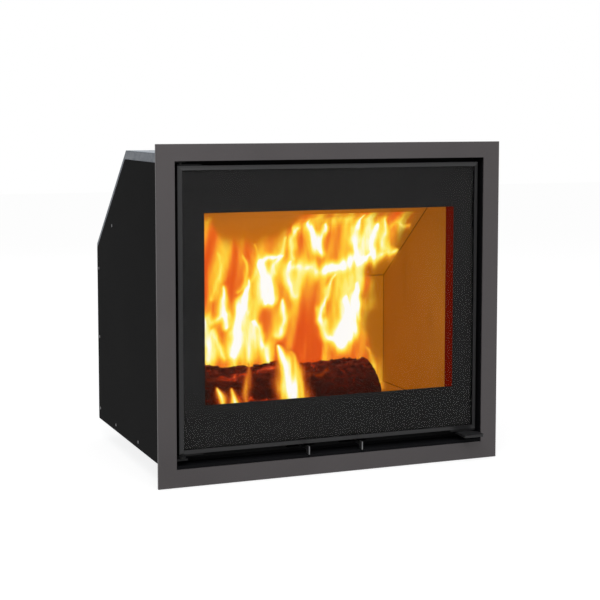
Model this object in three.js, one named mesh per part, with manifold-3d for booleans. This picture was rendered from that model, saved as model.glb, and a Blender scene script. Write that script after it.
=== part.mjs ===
// Built-in fireplace insert: a glazed, side-hung door in a flat trim frame, a steel firebox lined
// with insulating bricks, a convection casing with a sloping upper back, and two sliding air levers.
// Millimetres, +Z up, the front faces -Y. While a piece is being shaped, y = 0 is the front face of
// the trim frame and z = 0 is its lower edge; the last lines move the origin to the floor.

import * as THREE from 'three';
import { mergeVertices } from 'three/addons/utils/BufferGeometryUtils.js';
import Module from 'manifold-3d';

const wasm = await Module();
wasm.setup();

// ---------------------------------------------------------------- driving dimensions

const fit = 0.3; // clearance between pieces that touch
const sheet = 1.2; // folded casing and surround sheet

// trim frame
const frameWidth = 656;
const frameHeight = 590;
const frameSideBar = 32.5;
const frameTopBar = 29;
const frameBottomBar = 31.5;
const frameDepth = 6;
const framePlate = 2.5;
const frameReturn = 2;
const frameChamfer = 1;
const floorGap = 1.5; // the frame hangs this far above the floor

// surround: the black folded ring that the door sits in
const surroundBehindBar = 1;
const surroundFlangeMargin = 4;
const surroundRearLip = 10;
const surroundBottomLip = 4.5;

// trim clips
const clipLength = 40;
const clipLeg = 9;
const clipSheet = 1.4;
const clipInset = 110;

// casing
const frameLap = 10; // how far the trim frame laps past each side of the casing
const casingBottom = 34;
const casingBelowFrame = 16; // casing top under the frame's upper edge
const casingRear = 460;
const casingSlopeRise = 190;
const casingBehindFirebox = 10; // between their bends at the top of the slope
const bendRadius = 4;
const panelSheet = 1.2;
const panelInset = { bottom: 1.5, rear: 7, slope: 10, top: 16.5, front: 0 };
const flangeLap = 9; // how far a side panel covers the ring plate behind it
const ventLength = 62;
const ventWidth = 9;
const ventPitch = 82;
const ventCount = 5;
const ventRowPitch = 34;
const ventRows = 2;

// flue
const flueBore = 144;
const collarWall = 3;
const collarAboveCasing = 11;
const collarFlange = 10;
const flueFromFront = 142;
const collarSlack = 2.5; // gap between the collar and the casing's hole

// steel firebox
const steel = 4;
const brick = 28;
const brickFront = 74;
const backBrickFace = 346;
const slopeBrickRise = 138; // of the sloping back brick, from its foot to the baffle's joint
const slopeJointDepth = 167;
const smokeRoom = 100; // from that joint up to the firebox top
const baffleFront = 118;
const floorLift = 21.7; // firebox floor above the casing's underside
const warmAirGap = 26; // between the firebox top and the casing top
const fireboxSlopeRise = 148;
const flueToSlope = 10; // from the flue's bore back to the bend of the sloping firebox back
const floorBrick = 28;
const floorBrickCount = 3;
const openingSideMargin = 22; // the fire opening is this much wider than the clear window
const openingTopMargin = 21;
const openingAboveAirBox = 5;
const brickInsideOpening = 5; // a side brick's face stands this far inside the opening
const frontPlateBeyondSides = 3.7;
const frontPlateLift = 3; // above the casing's underside
const frontPlateRise = 14; // above the firebox top

// smoke deflector on top of the baffle
const deflectorSheet = 3;
const deflectorRear = 236;
const deflectorLip = 6;

// air box, air-wash duct and the registers in them
const airBoxLift = 7.7; // above the casing's underside
const airBoxAboveFloor = 31; // how far the air box stands above the fire's floor
const airBoxEndGap = 1.3; // to the firebox's side plates
const airBoxGap = 2; // between the air box and the bricks behind it
const airSheet = 2;
const airHole = 4; // radius
const airHolePitch = 13;
const airHoleCount = 3;
const airHoleRows = 2;
const airHoleRise = 10; // lower row of holes above the fire's floor
const airHoleRowPitch = 12;
const washAboveOpening = 4;
const washDepth = 24;
const washSlot = 5;

// air levers
const leverOffset = 51.5;
const leverThickness = 2;
const leverTabLift = 1.3; // above the recess's floor
const leverTabHeight = 14.5;
const leverReach = 4; // in front of the trim frame
const leverTabDepth = 12;
const leverRodLift = 7; // above the tab's lower end
const leverRodHeight = 5;
const leverTravel = 25; // each way
const leverPlay = 1;
const registerWidth = 44;
const registerHeight = 24;
const registerSheet = 2;

// door
const doorSideGap = 7.5; // to the trim frame's bars
const doorTopGap = 8.5;
const doorBottomGap = 24;
const doorRecess = 6;
const rimWidth = 7.4;
const rimSlope = 2.6;
const rimWall = 2.5;
const rimLip = 1.5;
const glassThickness = 4;
const tapeThickness = 1.6;
const tapeWidth = 18;
const borderSide = 48; // door edge to clear window
const borderBottom = 82.5;
const borderTop = 81.5;
const windowMargin = 4; // the steel behind the glass stays this far outside the clear window
const doorSheet = 3;
const doorInnerWall = 2.5;
const channelWidth = 17;
const channelDepth = 7.5;
const doorDepth = 28;
const doorStandOff = 6.1; // between the door's back and the firebox front, bridged by the rope
const ropeWidth = 14;
const ropeChamfer = 3.5;

// hinges
const hingeFromEdge = 5;
const hingeBehindFront = 4;
const pinRadius = 3;
const pinPlay = 0.15;
const leafThickness = 2.5;
const leafLength = 43;
const bracketThickness = 3;
const bracketWidth = 22;
const bracketDrop = 16;
const washerThickness = 3.6;
const washerRadius = 6.5;
const roundSides = 24;

// handle and latch
const handleReach = 28; // in front of the trim frame
const bladeThickness = 4.5;
const bladeUnderDoor = 8.5;
const bladeWidth = 40;
const bladeCorner = 5;
const bladeLength = 30;
const handlePivotFromEdge = 26;
const handlePivotDepth = 20;
const hubRadius = 11;
const hubCollarRadius = 9;
const handlePinRadius = 4;
const handleBracketThickness = 3;
const handleBracketWidth = 51;
const pinHeadRadius = 7;
const pinHeadHeight = 1.6;
const rollerRadius = 4;
const rollerHeight = 3.2;
const rollerPinRadius = 2;
const rollerSide = 5; // to the left of the handle's pivot
const rollerBack = 12; // behind it
const strikeWidth = 20;
const strikeSheet = 2.6;
const strikeDepth = 10;

// floor support
const railWidth = 40;
const railFront = 48;
const railInset = 98; // rail centre to the casing's side
const footRadius = 19;
const footPad = 6;
const studRadius = 5;
const nutRadius = 9.5;
const nutHeight = 8;
const footFromFront = 62;
const footFromRear = 62;

// fire
const logLength = 165;
const logRadius = 45;
const logFromFront = 168;
const logLift = 5; // log's underside above the floor bricks
const logRightStart = -3;
const logLeftEnd = -42;
const emberLength = 400;
const emberDepth = 180;
const emberHeight = 34;

// ---------------------------------------------------------------- sizes worked out from them

const frameOuter = rect(-frameWidth / 2, frameWidth / 2, 0, frameHeight);
const frameInner = {
  left: frameOuter.left + frameSideBar,
  right: frameOuter.right - frameSideBar,
  bottom: frameBottomBar,
  top: frameHeight - frameTopBar,
};
const doorOuter = {
  left: frameInner.left + doorSideGap,
  right: frameInner.right - doorSideGap,
  bottom: frameInner.bottom + doorBottomGap,
  top: frameInner.top - doorTopGap,
};
const revealInner = {
  left: frameInner.left - surroundBehindBar,
  right: frameInner.right + surroundBehindBar,
  bottom: casingBottom + sheet + fit + sheet,
  top: frameInner.top + surroundBehindBar,
};
const windowRect = {
  left: doorOuter.left + borderSide,
  right: doorOuter.right - borderSide,
  bottom: doorOuter.bottom + borderBottom,
  top: doorOuter.top - borderTop,
};

// depths of the door's layers, from the front
const glassFront = doorRecess + rimLip + fit;
const tapeFront = glassFront + glassThickness + fit;
const seatFront = tapeFront + tapeThickness + fit;
const doorBack = doorRecess + doorDepth;
const channelFloor = doorBack - channelDepth;
const channelFront = channelFloor - doorInnerWall;
const rimBack = channelFront - fit;
const channelInset = rimWall + channelWidth; // door edge to the channel's inner wall

// depths of the surround, casing and firebox
const surroundFront = framePlate + fit;
const casingFront = surroundFront + sheet + fit;
const frontPlateY = doorBack + doorStandOff;
const surroundBack = frontPlateY - fit;
const fireboxFront = frontPlateY + steel + fit;
const rearSteel = backBrickFace + brick + fit;
const fireboxRear = rearSteel + steel;
const fireboxTopDepth = flueFromFront + flueBore / 2 + flueToSlope;
const casingTopDepth = fireboxTopDepth + casingBehindFirebox;
const airBoxRear = brickFront - airBoxGap;

// widths and heights of the casing and firebox
const casingWidth = frameWidth - 2 * frameLap;
const flangePlane = casingWidth / 2 - panelSheet - fit;
const casingTop = frameHeight - casingBelowFrame;
const casingKnee = casingTop - casingSlopeRise;
const fireboxTop = casingTop - warmAirGap;
const topUnder = fireboxTop - steel;
const fireboxKnee = fireboxTop - fireboxSlopeRise;
const fireboxFloor = casingBottom + floorLift;
const floorTop = fireboxFloor + steel;
const floorBrickTop = floorTop + fit + floorBrick;
const airBoxBottom = casingBottom + airBoxLift;
const airBoxTop = floorBrickTop + airBoxAboveFloor;
const airHoleMiddle = floorBrickTop + airHoleRise + (airHoleRows - 1) * airHoleRowPitch / 2;
const openingRect = {
  left: windowRect.left - openingSideMargin,
  right: windowRect.right + openingSideMargin,
  bottom: airBoxTop + openingAboveAirBox,
  top: windowRect.top + openingTopMargin,
};
const fireHalfWidth = openingRect.right - brickInsideOpening; // inner face of a side brick
const sideSteel = fireHalfWidth + brick + fit;
const slopeJoint = fireboxTop - smokeRoom;
const slopeFoot = slopeJoint - slopeBrickRise;
const slopeRatio = slopeBrickRise / (backBrickFace - slopeJointDepth);
const slopeAngle = Math.atan(slopeRatio);

const hingeX = doorOuter.left + hingeFromEdge;
const hingeY = doorRecess + hingeBehindFront;
const leverTabBottom = revealInner.bottom + leverTabLift;
const leverTabTop = leverTabBottom + leverTabHeight;
const leverRodBottom = leverTabBottom + leverRodLift;
const leverRodTop = leverRodBottom + leverRodHeight;
const bladeBottom = doorOuter.bottom - bladeUnderDoor;
const bladeTop = bladeBottom + bladeThickness;
const pivotX = doorOuter.right - handlePivotFromEdge;
const rollerX = pivotX - rollerSide;
const rollerY = handlePivotDepth + rollerBack;

// ---------------------------------------------------------------- materials

const materials = {
  trim: finish('#5a5657', 0.55, 0.35),
  black: finish('#1e1f20', 0.5, 0.3),
  galvanised: finish('#8d949a', 0.38, 0.85),
  steel: finish('#2b2b2c', 0.6, 0.5),
  brick: finish('#b98a4a', 0.95, 0),
  glass: finish('#15161a', 0.08, 0, 0.55),
  rope: finish('#3a3a39', 1, 0),
  bright: finish('#a5a8ab', 0.3, 0.95),
  bark: finish('#2a1712', 0.95, 0),
  ember: finish('#8e2a12', 1, 0),
};

function finish(color, roughness, metalness, opacity = 1) {
  return new THREE.MeshStandardMaterial({
    color, roughness, metalness, opacity, transparent: opacity < 1,
  });
}

// ---------------------------------------------------------------- shaping helpers

function rect(left, right, bottom, top) {
  return { left, right, bottom, top };
}

// A rectangle drawn in by d on all four sides.
function inset(r, d) {
  return rect(r.left + d, r.right - d, r.bottom + d, r.top - d);
}

function block([x0, x1], [y0, y1], [z0, z1]) {
  const box = new THREE.BoxGeometry(x1 - x0, y1 - y0, z1 - z0);
  return box.translate((x0 + x1) / 2, (y0 + y1) / 2, (z0 + z1) / 2);
}

function shapeOf(points) {
  return new THREE.Shape(points.map(([a, b]) => new THREE.Vector2(a, b)));
}

function extruded(shape, depth, curveSegments) {
  return new THREE.ExtrudeGeometry(shape, { depth, curveSegments, bevelEnabled: false });
}

// A shape drawn in (y, z), extruded from x0 to x1.
function alongX(shape, x0, x1, curveSegments = 6) {
  const turn = new THREE.Matrix4().makeBasis(
    new THREE.Vector3(0, 1, 0), new THREE.Vector3(0, 0, 1), new THREE.Vector3(1, 0, 0));
  return extruded(shape, x1 - x0, curveSegments).applyMatrix4(turn).translate(x0, 0, 0);
}

// A shape drawn in (x, z), extruded from y0 to y1.
function alongY(shape, y0, y1, curveSegments = 6) {
  return extruded(shape, y1 - y0, curveSegments).rotateX(Math.PI / 2).translate(0, y1, 0);
}

// A shape drawn in (x, y), extruded from z0 to z1.
function alongZ(shape, z0, z1, curveSegments = 6) {
  return extruded(shape, z1 - z0, curveSegments).translate(0, 0, z0);
}

// An upright turned piece: profile points are (radius, z), closed on the axis.
function turned(points, x, y, sides = roundSides) {
  const profile = points.map(([r, z]) => new THREE.Vector2(r, z));
  return new THREE.LatheGeometry(profile, sides).rotateX(Math.PI / 2).translate(x, y, 0);
}

// A round bar from z0 to z1, used for pins and for boring holes.
function post(x, y, radius, z0, z1, sides = roundSides) {
  return turned([[0, z0], [radius, z0], [radius, z1], [0, z1]], x, y, sides);
}

// A ring of constant section with mitred corners: each loop is a rectangle at a depth y, and the
// section closes from the last loop back to the first.
function mitredRing(loops) {
  const corners = [];
  for (const [r, y] of loops) {
    corners.push(r.left, y, r.bottom, r.right, y, r.bottom, r.right, y, r.top, r.left, y, r.top);
  }
  const index = [];
  for (let i = 0; i < loops.length; i++) {
    const next = (i + 1) % loops.length;
    for (let k = 0; k < 4; k++) {
      const side = (k + 1) % 4;
      const a = i * 4 + k, b = i * 4 + side, c = next * 4 + side, d = next * 4 + k;
      index.push(a, b, c, a, c, d);
    }
  }
  const ring = new THREE.BufferGeometry();
  ring.setAttribute('position', new THREE.Float32BufferAttribute(corners, 3));
  ring.setIndex(index);
  return facingOut(ring);
}

// Turns a closed mesh the right way round when its signed volume is negative.
function facingOut(geometry) {
  const p = geometry.attributes.position;
  const index = geometry.index.array;
  const [a, b, c] = [new THREE.Vector3(), new THREE.Vector3(), new THREE.Vector3()];
  let volume = 0;
  for (let i = 0; i < index.length; i += 3) {
    a.fromBufferAttribute(p, index[i]);
    b.fromBufferAttribute(p, index[i + 1]);
    c.fromBufferAttribute(p, index[i + 2]);
    volume += a.dot(b.cross(c));
  }
  if (volume < 0) {
    for (let i = 0; i < index.length; i += 3) {
      [index[i + 1], index[i + 2]] = [index[i + 2], index[i + 1]];
    }
  }
  return geometry;
}

// An open line of points with its inner corners rounded off by short arcs.
function roundedPath(points, radius, steps = 3) {
  const line = points.map(([a, b]) => new THREE.Vector2(a, b));
  const out = [line[0]];
  for (let i = 1; i < line.length - 1; i++) {
    const into = line[i - 1].clone().sub(line[i]).normalize();
    const away = line[i + 1].clone().sub(line[i]).normalize();
    const half = Math.acos(THREE.MathUtils.clamp(into.dot(away), -1, 1)) / 2;
    const setback = radius / Math.tan(half);
    const start = line[i].clone().addScaledVector(into, setback);
    const end = line[i].clone().addScaledVector(away, setback);
    const curve = new THREE.QuadraticBezierCurve(start, line[i], end);
    out.push(...curve.getPoints(steps));
  }
  out.push(line[line.length - 1]);
  return out;
}

// An open line moved to its left by a distance.
function offsetPath(path, distance) {
  return path.map((point, i) => {
    const before = path[Math.max(i - 1, 0)];
    const after = path[Math.min(i + 1, path.length - 1)];
    const here = i === 0 ? after : before;
    const first = i === 0 ? after.clone().sub(point) : point.clone().sub(here);
    const second = i === path.length - 1 ? first.clone() : after.clone().sub(point);
    const n1 = new THREE.Vector2(-first.y, first.x).normalize();
    const n2 = new THREE.Vector2(-second.y, second.x).normalize();
    const mid = n1.clone().add(n2).normalize();
    return point.clone().addScaledVector(mid, distance / mid.dot(n1));
  });
}

// The outline of a folded sheet: the path, and the same path moved to its left by the thickness.
function foldedSheet(points, thickness, radius) {
  const path = roundedPath(points, radius);
  return new THREE.Shape([...path, ...offsetPath(path, thickness).reverse()]);
}

// A closed outline, counter-clockwise, with each edge moved inwards by its own distance.
function insetOutline(points, distances) {
  const count = points.length;
  const edges = points.map(([ax, ay], i) => {
    const [bx, by] = points[(i + 1) % count];
    const length = Math.hypot(bx - ax, by - ay);
    const dir = [(bx - ax) / length, (by - ay) / length];
    const start = [ax - dir[1] * distances[i], ay + dir[0] * distances[i]];
    return { start, dir };
  });
  return edges.map((edge, i) => {
    const last = edges[(i + count - 1) % count];
    const cross = last.dir[0] * edge.dir[1] - last.dir[1] * edge.dir[0];
    const gap = [edge.start[0] - last.start[0], edge.start[1] - last.start[1]];
    const t = (gap[0] * edge.dir[1] - gap[1] * edge.dir[0]) / cross;
    return [last.start[0] + last.dir[0] * t, last.start[1] + last.dir[1] * t];
  });
}

// A slot with round ends, drawn about the origin with its length along the first axis.
function slotShape(length, width) {
  const r = width / 2;
  const shape = new THREE.Shape();
  shape.moveTo(-length / 2 + r, -r);
  shape.lineTo(length / 2 - r, -r);
  shape.absarc(length / 2 - r, 0, r, -Math.PI / 2, Math.PI / 2);
  shape.lineTo(-length / 2 + r, r);
  shape.absarc(-length / 2 + r, 0, r, Math.PI / 2, Math.PI * 1.5);
  return shape;
}

// ---------------------------------------------------------------- joining and cutting

function toSolid(geometry) {
  const bare = geometry.clone();
  bare.deleteAttribute('normal');
  bare.deleteAttribute('uv');
  const merged = mergeVertices(bare, 1e-4);
  return new wasm.Manifold(new wasm.Mesh({
    numProp: 3,
    vertProperties: Float32Array.from(merged.attributes.position.array),
    triVerts: Uint32Array.from(merged.index.array),
  }));
}

function toGeometry(solid) {
  const mesh = solid.getMesh();
  const geometry = new THREE.BufferGeometry();
  geometry.setAttribute('position', new THREE.BufferAttribute(mesh.vertProperties, 3));
  geometry.setIndex(new THREE.BufferAttribute(mesh.triVerts, 1));
  return geometry;
}

function join(first, ...others) {
  return toGeometry(others.reduce((sum, piece) => sum.add(toSolid(piece)), toSolid(first)));
}

function cut(base, ...tools) {
  return toGeometry(tools.reduce((rest, tool) => rest.subtract(toSolid(tool)), toSolid(base)));
}

// ---------------------------------------------------------------- the object

const insert = new THREE.Group();

function add(name, geometry, material) {
  const shown = geometry.index ? geometry.toNonIndexed() : geometry;
  shown.computeVertexNormals();
  const mesh = new THREE.Mesh(shown, material);
  mesh.name = name;
  insert.add(mesh);
}

function bothSides(make) {
  make('left', -1);
  make('right', 1);
}

// ---------------------------------------------------------------- trim frame and surround

function trimFrame() {
  const lip = inset(frameOuter, frameReturn);
  add('trim_frame', mitredRing([
    [inset(frameOuter, frameChamfer), 0],
    [frameInner, 0],
    [frameInner, framePlate],
    [lip, framePlate],
    [lip, frameDepth],
    [frameOuter, frameDepth],
    [frameOuter, frameChamfer],
  ]), materials.trim);
}

// The surround's flange stands behind the trim frame, and its tube runs back to the firebox.
function frontSurround() {
  const flange = inset(frameOuter, surroundFlangeMargin + frameReturn);
  const tube = inset(revealInner, -sheet);
  const lip = inset(revealInner, surroundRearLip);
  lip.bottom = revealInner.bottom + surroundBottomLip;
  add('front_surround', mitredRing([
    [flange, surroundFront],
    [revealInner, surroundFront],
    [revealInner, surroundBack - sheet],
    [lip, surroundBack - sheet],
    [lip, surroundBack],
    [tube, surroundBack],
    [tube, surroundFront + sheet],
    [flange, surroundFront + sheet],
  ]), materials.black);
}

// Angle clips: one leg behind the surround's flange, inside the trim frame's return, the other along
// the casing's side.
function trimClips() {
  const x0 = casingWidth / 2 + fit;
  const x1 = frameWidth / 2 - frameReturn - fit;
  const y0 = casingFront;
  const angle = shapeOf([
    [x0, y0], [x1, y0], [x1, y0 + clipSheet], [x0 + clipSheet, y0 + clipSheet],
    [x0 + clipSheet, y0 + clipLeg], [x0, y0 + clipLeg],
  ]);
  bothSides((side, sign) => {
    [['lower', clipInset], ['upper', frameHeight - clipInset]].forEach(([level, z]) => {
      const clip = alongZ(angle, z - clipLength / 2, z + clipLength / 2);
      if (sign < 0) clip.rotateZ(Math.PI).rotateX(Math.PI).translate(0, 0, 2 * z);
      add(`trim_clip_${level}_${side}`, clip, materials.galvanised);
    });
  });
}

// ---------------------------------------------------------------- casing

const casingOutline = [
  [casingFront, casingBottom],
  [casingRear, casingBottom],
  [casingRear, casingKnee],
  [casingTopDepth, casingTop],
  [casingFront, casingTop],
];
const panelDistances = [
  panelInset.bottom, panelInset.rear, panelInset.slope, panelInset.top, panelInset.front,
];
const railX = casingWidth / 2 - railInset;
const footRows = [casingFront + footFromFront, casingRear - footFromRear];

// One sheet folded round the firebox: floor, rear, slope and top.
function casingWrap() {
  const band = alongX(foldedSheet(casingOutline, sheet, bendRadius), -flangePlane, flangePlane);
  const collarHole = flueBore / 2 + collarWall + collarSlack;
  const tools = [post(0, flueFromFront, collarHole, casingTop - 20, casingTop + 20, 40)];
  for (const x of [-railX, railX]) {
    for (const y of footRows) {
      tools.push(post(x, y, studRadius + 1, casingBottom - 5, casingBottom + 5, 12));
    }
  }
  add('casing_wrap', cut(band, ...tools, ...ventCutters()), materials.galvanised);
}

// Flat ring plates inside the wrap's edges, which the side panels are screwed to.
function sideFrames() {
  const ring = new THREE.Shape(offsetPath(roundedPath(casingOutline, bendRadius), sheet + fit));
  const inner = insetOutline(casingOutline, panelDistances.map((d) => d + flangeLap));
  ring.holes.push(new THREE.Path(inner.map(([y, z]) => new THREE.Vector2(y, z))));
  add('side_frame_left', alongX(ring, -flangePlane, -flangePlane + sheet), materials.galvanised);
  add('side_frame_right', alongX(ring, flangePlane - sheet, flangePlane), materials.galvanised);
}

// Warm-air slots in the sloping back and intake slots in the floor.
function ventCutters() {
  const slopeMid = [(casingRear + casingTopDepth) / 2, (casingKnee + casingTop) / 2];
  const tilt = Math.atan2(casingTop - casingKnee, casingRear - casingTopDepth);
  const floorMid = (casingRear + casingFront) / 2;
  const tools = [];
  for (let i = 0; i < ventCount; i++) {
    const x = (i - (ventCount - 1) / 2) * ventPitch;
    for (let row = 0; row < ventRows; row++) {
      const along = (row - (ventRows - 1) / 2) * ventRowPitch;
      const slope = alongZ(slotShape(ventLength, ventWidth), -12, 12, 4).rotateX(-tilt);
      const y = slopeMid[0] - along * Math.cos(tilt);
      const z = slopeMid[1] + along * Math.sin(tilt);
      tools.push(slope.translate(x, y, z));
      const intake = alongZ(slotShape(ventLength, ventWidth), -12, 12, 4);
      tools.push(intake.translate(x, floorMid + along, casingBottom));
    }
  }
  return tools;
}

function sidePanels() {
  const outline = shapeOf(insetOutline(casingOutline, panelDistances));
  const outer = casingWidth / 2;
  add('side_panel_left', alongX(outline, -outer, -outer + panelSheet), materials.black);
  add('side_panel_right', alongX(outline, outer - panelSheet, outer), materials.black);
}

function flueCollar() {
  const inner = flueBore / 2;
  const outer = inner + collarWall;
  const seat = fireboxTop + fit;
  const top = casingTop + collarAboveCasing;
  add('flue_collar', turned([
    [inner, seat],
    [outer + collarFlange, seat],
    [outer + collarFlange, seat + collarWall],
    [outer, seat + collarWall],
    [outer, top - collarWall / 3],
    [outer - collarWall / 3, top],
    [inner, top],
    [inner, seat],
  ], 0, flueFromFront, 40), materials.black);
}

// ---------------------------------------------------------------- floor support

// The rails carry the firebox floor and step down in front, under the air box.
function baseRails() {
  const z0 = casingBottom + sheet + fit;
  const z1 = fireboxFloor - fit;
  const underBox = airBoxBottom - fit;
  const rear = footRows[1] + railWidth / 2;
  const outline = shapeOf([
    [railFront, z0], [rear, z0], [rear, z1], [airBoxRear + fit, z1], [airBoxRear + fit, underBox],
    [railFront, underBox],
  ]);
  bothSides((side, sign) => {
    const x = sign * railX;
    const rail = alongX(outline, x - railWidth / 2, x + railWidth / 2);
    const holes = footRows.map((y) => post(x, y, studRadius + fit / 2, z0 - 1, z1 + 1, 12));
    add(`base_rail_${side}`, cut(rail, ...holes), materials.steel);
  });
}

function levellingFeet() {
  const floor = -floorGap;
  const nutTop = casingBottom - fit;
  const nutUnder = nutTop - nutHeight;
  const studTop = airBoxBottom - fit;
  const profile = [
    [0, floor], [footRadius, floor], [footRadius, floor + footPad / 2],
    [studRadius * 1.6, floor + footPad], [studRadius, floor + footPad],
    [studRadius, nutUnder], [studRadius, studTop], [0, studTop],
  ];
  bothSides((side, sign) => {
    ['front', 'rear'].forEach((end, i) => {
      const x = sign * railX;
      const nut = turned([[0, nutUnder], [nutRadius, nutUnder], [nutRadius, nutTop], [0, nutTop]],
        x, footRows[i], 6);
      const foot = join(turned(profile, x, footRows[i], 12), nut);
      add(`levelling_foot_${end}_${side}`, foot, materials.bright);
    });
  });
}

// ---------------------------------------------------------------- steel firebox

function fireboxFrontPlate() {
  const half = sideSteel + steel + frontPlateBeyondSides;
  const outer = rect(-half, half, casingBottom + frontPlateLift, fireboxTop + frontPlateRise);
  const plate = mitredRing([
    [outer, frontPlateY],
    [openingRect, frontPlateY],
    [openingRect, frontPlateY + steel],
    [outer, frontPlateY + steel],
  ]);
  add('firebox_front', cut(plate, ...leverSlots(frontPlateY, frontPlateY + steel)), materials.steel);
}

// Slots that the air levers pass through, one for each lever, with room for their travel.
function leverSlots(y0, y1) {
  const length = 2 * leverTravel + leverThickness + 2 * leverPlay;
  const height = leverRodHeight + 2 * leverPlay;
  return [-leverOffset, leverOffset].map((x) =>
    block([x - length / 2, x + length / 2], [y0 - 1, y1 + 1],
      [leverRodBottom - leverPlay, leverRodBottom - leverPlay + height]));
}

function fireboxSides() {
  const plate = shapeOf([
    [fireboxFront, airBoxBottom],
    [fireboxRear, airBoxBottom],
    [fireboxRear, fireboxKnee],
    [fireboxTopDepth, topUnder - fit],
    [fireboxFront, topUnder - fit],
  ]);
  add('firebox_side_left', alongX(plate, -sideSteel - steel, -sideSteel), materials.steel);
  add('firebox_side_right', alongX(plate, sideSteel, sideSteel + steel), materials.steel);
}

function fireboxBack() {
  const path = [
    [fireboxRear, floorTop + fit],
    [fireboxRear, fireboxKnee],
    [fireboxTopDepth, topUnder - fit],
  ];
  const half = sideSteel - fit;
  add('firebox_back', alongX(foldedSheet(path, steel, steel * 2), -half, half), materials.steel);
}

function fireboxTopPlate() {
  const half = sideSteel + steel;
  const plate = block([-half, half], [fireboxFront, fireboxTopDepth + steel], [topUnder, fireboxTop]);
  const hole = post(0, flueFromFront, flueBore / 2, topUnder - 1, fireboxTop + 1, 40);
  add('firebox_top', cut(plate, hole), materials.steel);
}

function fireboxFloorPlate() {
  const half = sideSteel - fit;
  add('firebox_floor', block([-half, half], [airBoxRear + fit, fireboxRear - fit],
    [fireboxFloor, floorTop]), materials.steel);
}

// ---------------------------------------------------------------- lining

// The underside of the sloping bricks: height at a depth y.
function slopeAt(y) {
  return slopeFoot + fit + (backBrickFace - y) * slopeRatio;
}

// A point a given distance above the sloping underside, square to it.
function aboveSlope(y, rise) {
  return [y + rise * Math.sin(slopeAngle), slopeAt(y) + rise * Math.cos(slopeAngle)];
}

function sideBricks() {
  const z0 = floorTop + fit;
  const drop = fit / Math.cos(slopeAngle);
  const outline = shapeOf([
    [brickFront, z0],
    [rearSteel - fit, z0],
    [rearSteel - fit, slopeFoot],
    [backBrickFace, slopeFoot],
    [baffleFront, slopeAt(baffleFront) - drop],
    [brickFront, slopeAt(baffleFront) - drop],
  ]);
  const outer = sideSteel - fit;
  add('side_brick_left', alongX(outline, -outer, -fireHalfWidth), materials.brick);
  add('side_brick_right', alongX(outline, fireHalfWidth, outer), materials.brick);
}

function backBricks() {
  const half = fireHalfWidth - fit;
  add('back_brick_lower', block([-half, half], [backBrickFace, rearSteel - fit],
    [floorTop + fit, slopeFoot]), materials.brick);
  const rear = rearSteel - fit;
  const top = aboveSlope(backBrickFace, brick);
  const wide = sideSteel - fit;
  const upper = shapeOf([
    [rear, slopeFoot + fit],
    [rear, top[1] - (rear - top[0]) * slopeRatio],
    aboveSlope(slopeJointDepth + fit / 2, brick),
    aboveSlope(slopeJointDepth + fit / 2, 0),
    [backBrickFace, slopeFoot + fit],
  ]);
  add('back_brick_upper', alongX(upper, -wide, wide), materials.brick);
  const baffle = shapeOf([
    aboveSlope(slopeJointDepth - fit / 2, 0),
    aboveSlope(slopeJointDepth - fit / 2, brick),
    aboveSlope(baffleFront, brick),
    aboveSlope(baffleFront, 0),
  ]);
  add('baffle_brick', alongX(baffle, -wide, wide), materials.brick);
}

// A folded plate on top of the baffle, with its front edge turned up into the smoke path.
function smokeDeflector() {
  const rise = brick + fit;
  const rear = aboveSlope(deflectorRear, rise);
  const front = aboveSlope(baffleFront, rise);
  const path = [[front[0], front[1] + deflectorLip], front, rear].reverse();
  const half = sideSteel - fit;
  const outline = foldedSheet(path, -deflectorSheet, deflectorSheet);
  add('smoke_deflector', alongX(outline, -half, half), materials.steel);
}

function floorBricks() {
  const width = (2 * fireHalfWidth - fit) / floorBrickCount;
  for (let i = 0; i < floorBrickCount; i++) {
    const x = -fireHalfWidth + fit + i * width;
    add(`floor_brick_${i + 1}`, block([x, x + width - fit], [brickFront, backBrickFace - fit],
      [floorTop + fit, floorBrickTop]), materials.brick);
  }
}

// ---------------------------------------------------------------- combustion air

// Positions of the air holes round one lever's register.
function airHoles(x) {
  const holes = [];
  for (let row = 0; row < airHoleRows; row++) {
    for (let i = 0; i < airHoleCount; i++) {
      const offset = (i - (airHoleCount - 1) / 2) * airHolePitch;
      holes.push([x + offset, floorBrickTop + airHoleRise + row * airHoleRowPitch]);
    }
  }
  return holes;
}

function holeCutters(x, y0, y1) {
  return airHoles(x).map(([hx, hz]) => {
    const disc = new THREE.Shape();
    disc.absarc(hx, hz, airHole, 0, Math.PI * 2);
    return alongY(disc, y0 - 1, y1 + 1, 5);
  });
}

function airBox() {
  const half = sideSteel - airBoxEndGap;
  const room = half - airSheet;
  const outer = block([-half, half], [fireboxFront, airBoxRear], [airBoxBottom, airBoxTop]);
  const inner = block([-room, room], [fireboxFront + airSheet, airBoxRear - airSheet],
    [airBoxBottom + airSheet, airBoxTop - airSheet]);
  add('air_box', cut(outer, inner, ...leverSlots(fireboxFront, fireboxFront + airSheet),
    ...holeCutters(-leverOffset, airBoxRear - airSheet, airBoxRear),
    ...holeCutters(leverOffset, airBoxRear - airSheet, airBoxRear)), materials.steel);
}

// The duct above the fire opening, open along its lower front edge to wash the glass with air.
function airWashDuct() {
  const y0 = fireboxFront;
  const y1 = fireboxFront + washDepth;
  const z0 = openingRect.top + washAboveOpening;
  const z1 = topUnder - fit;
  const half = sideSteel - fit;
  const outline = shapeOf([
    [y0, z0 + washSlot * 2], [y0 + airSheet, z0 + washSlot * 2], [y0 + airSheet, z1 - airSheet],
    [y1 - airSheet, z1 - airSheet], [y1 - airSheet, z0 + airSheet],
    [y0 + washSlot, z0 + airSheet], [y0 + washSlot, z0], [y1, z0], [y1, z1], [y0, z1],
  ]);
  add('air_wash_duct', alongX(outline, -half, half), materials.steel);
}

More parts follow.
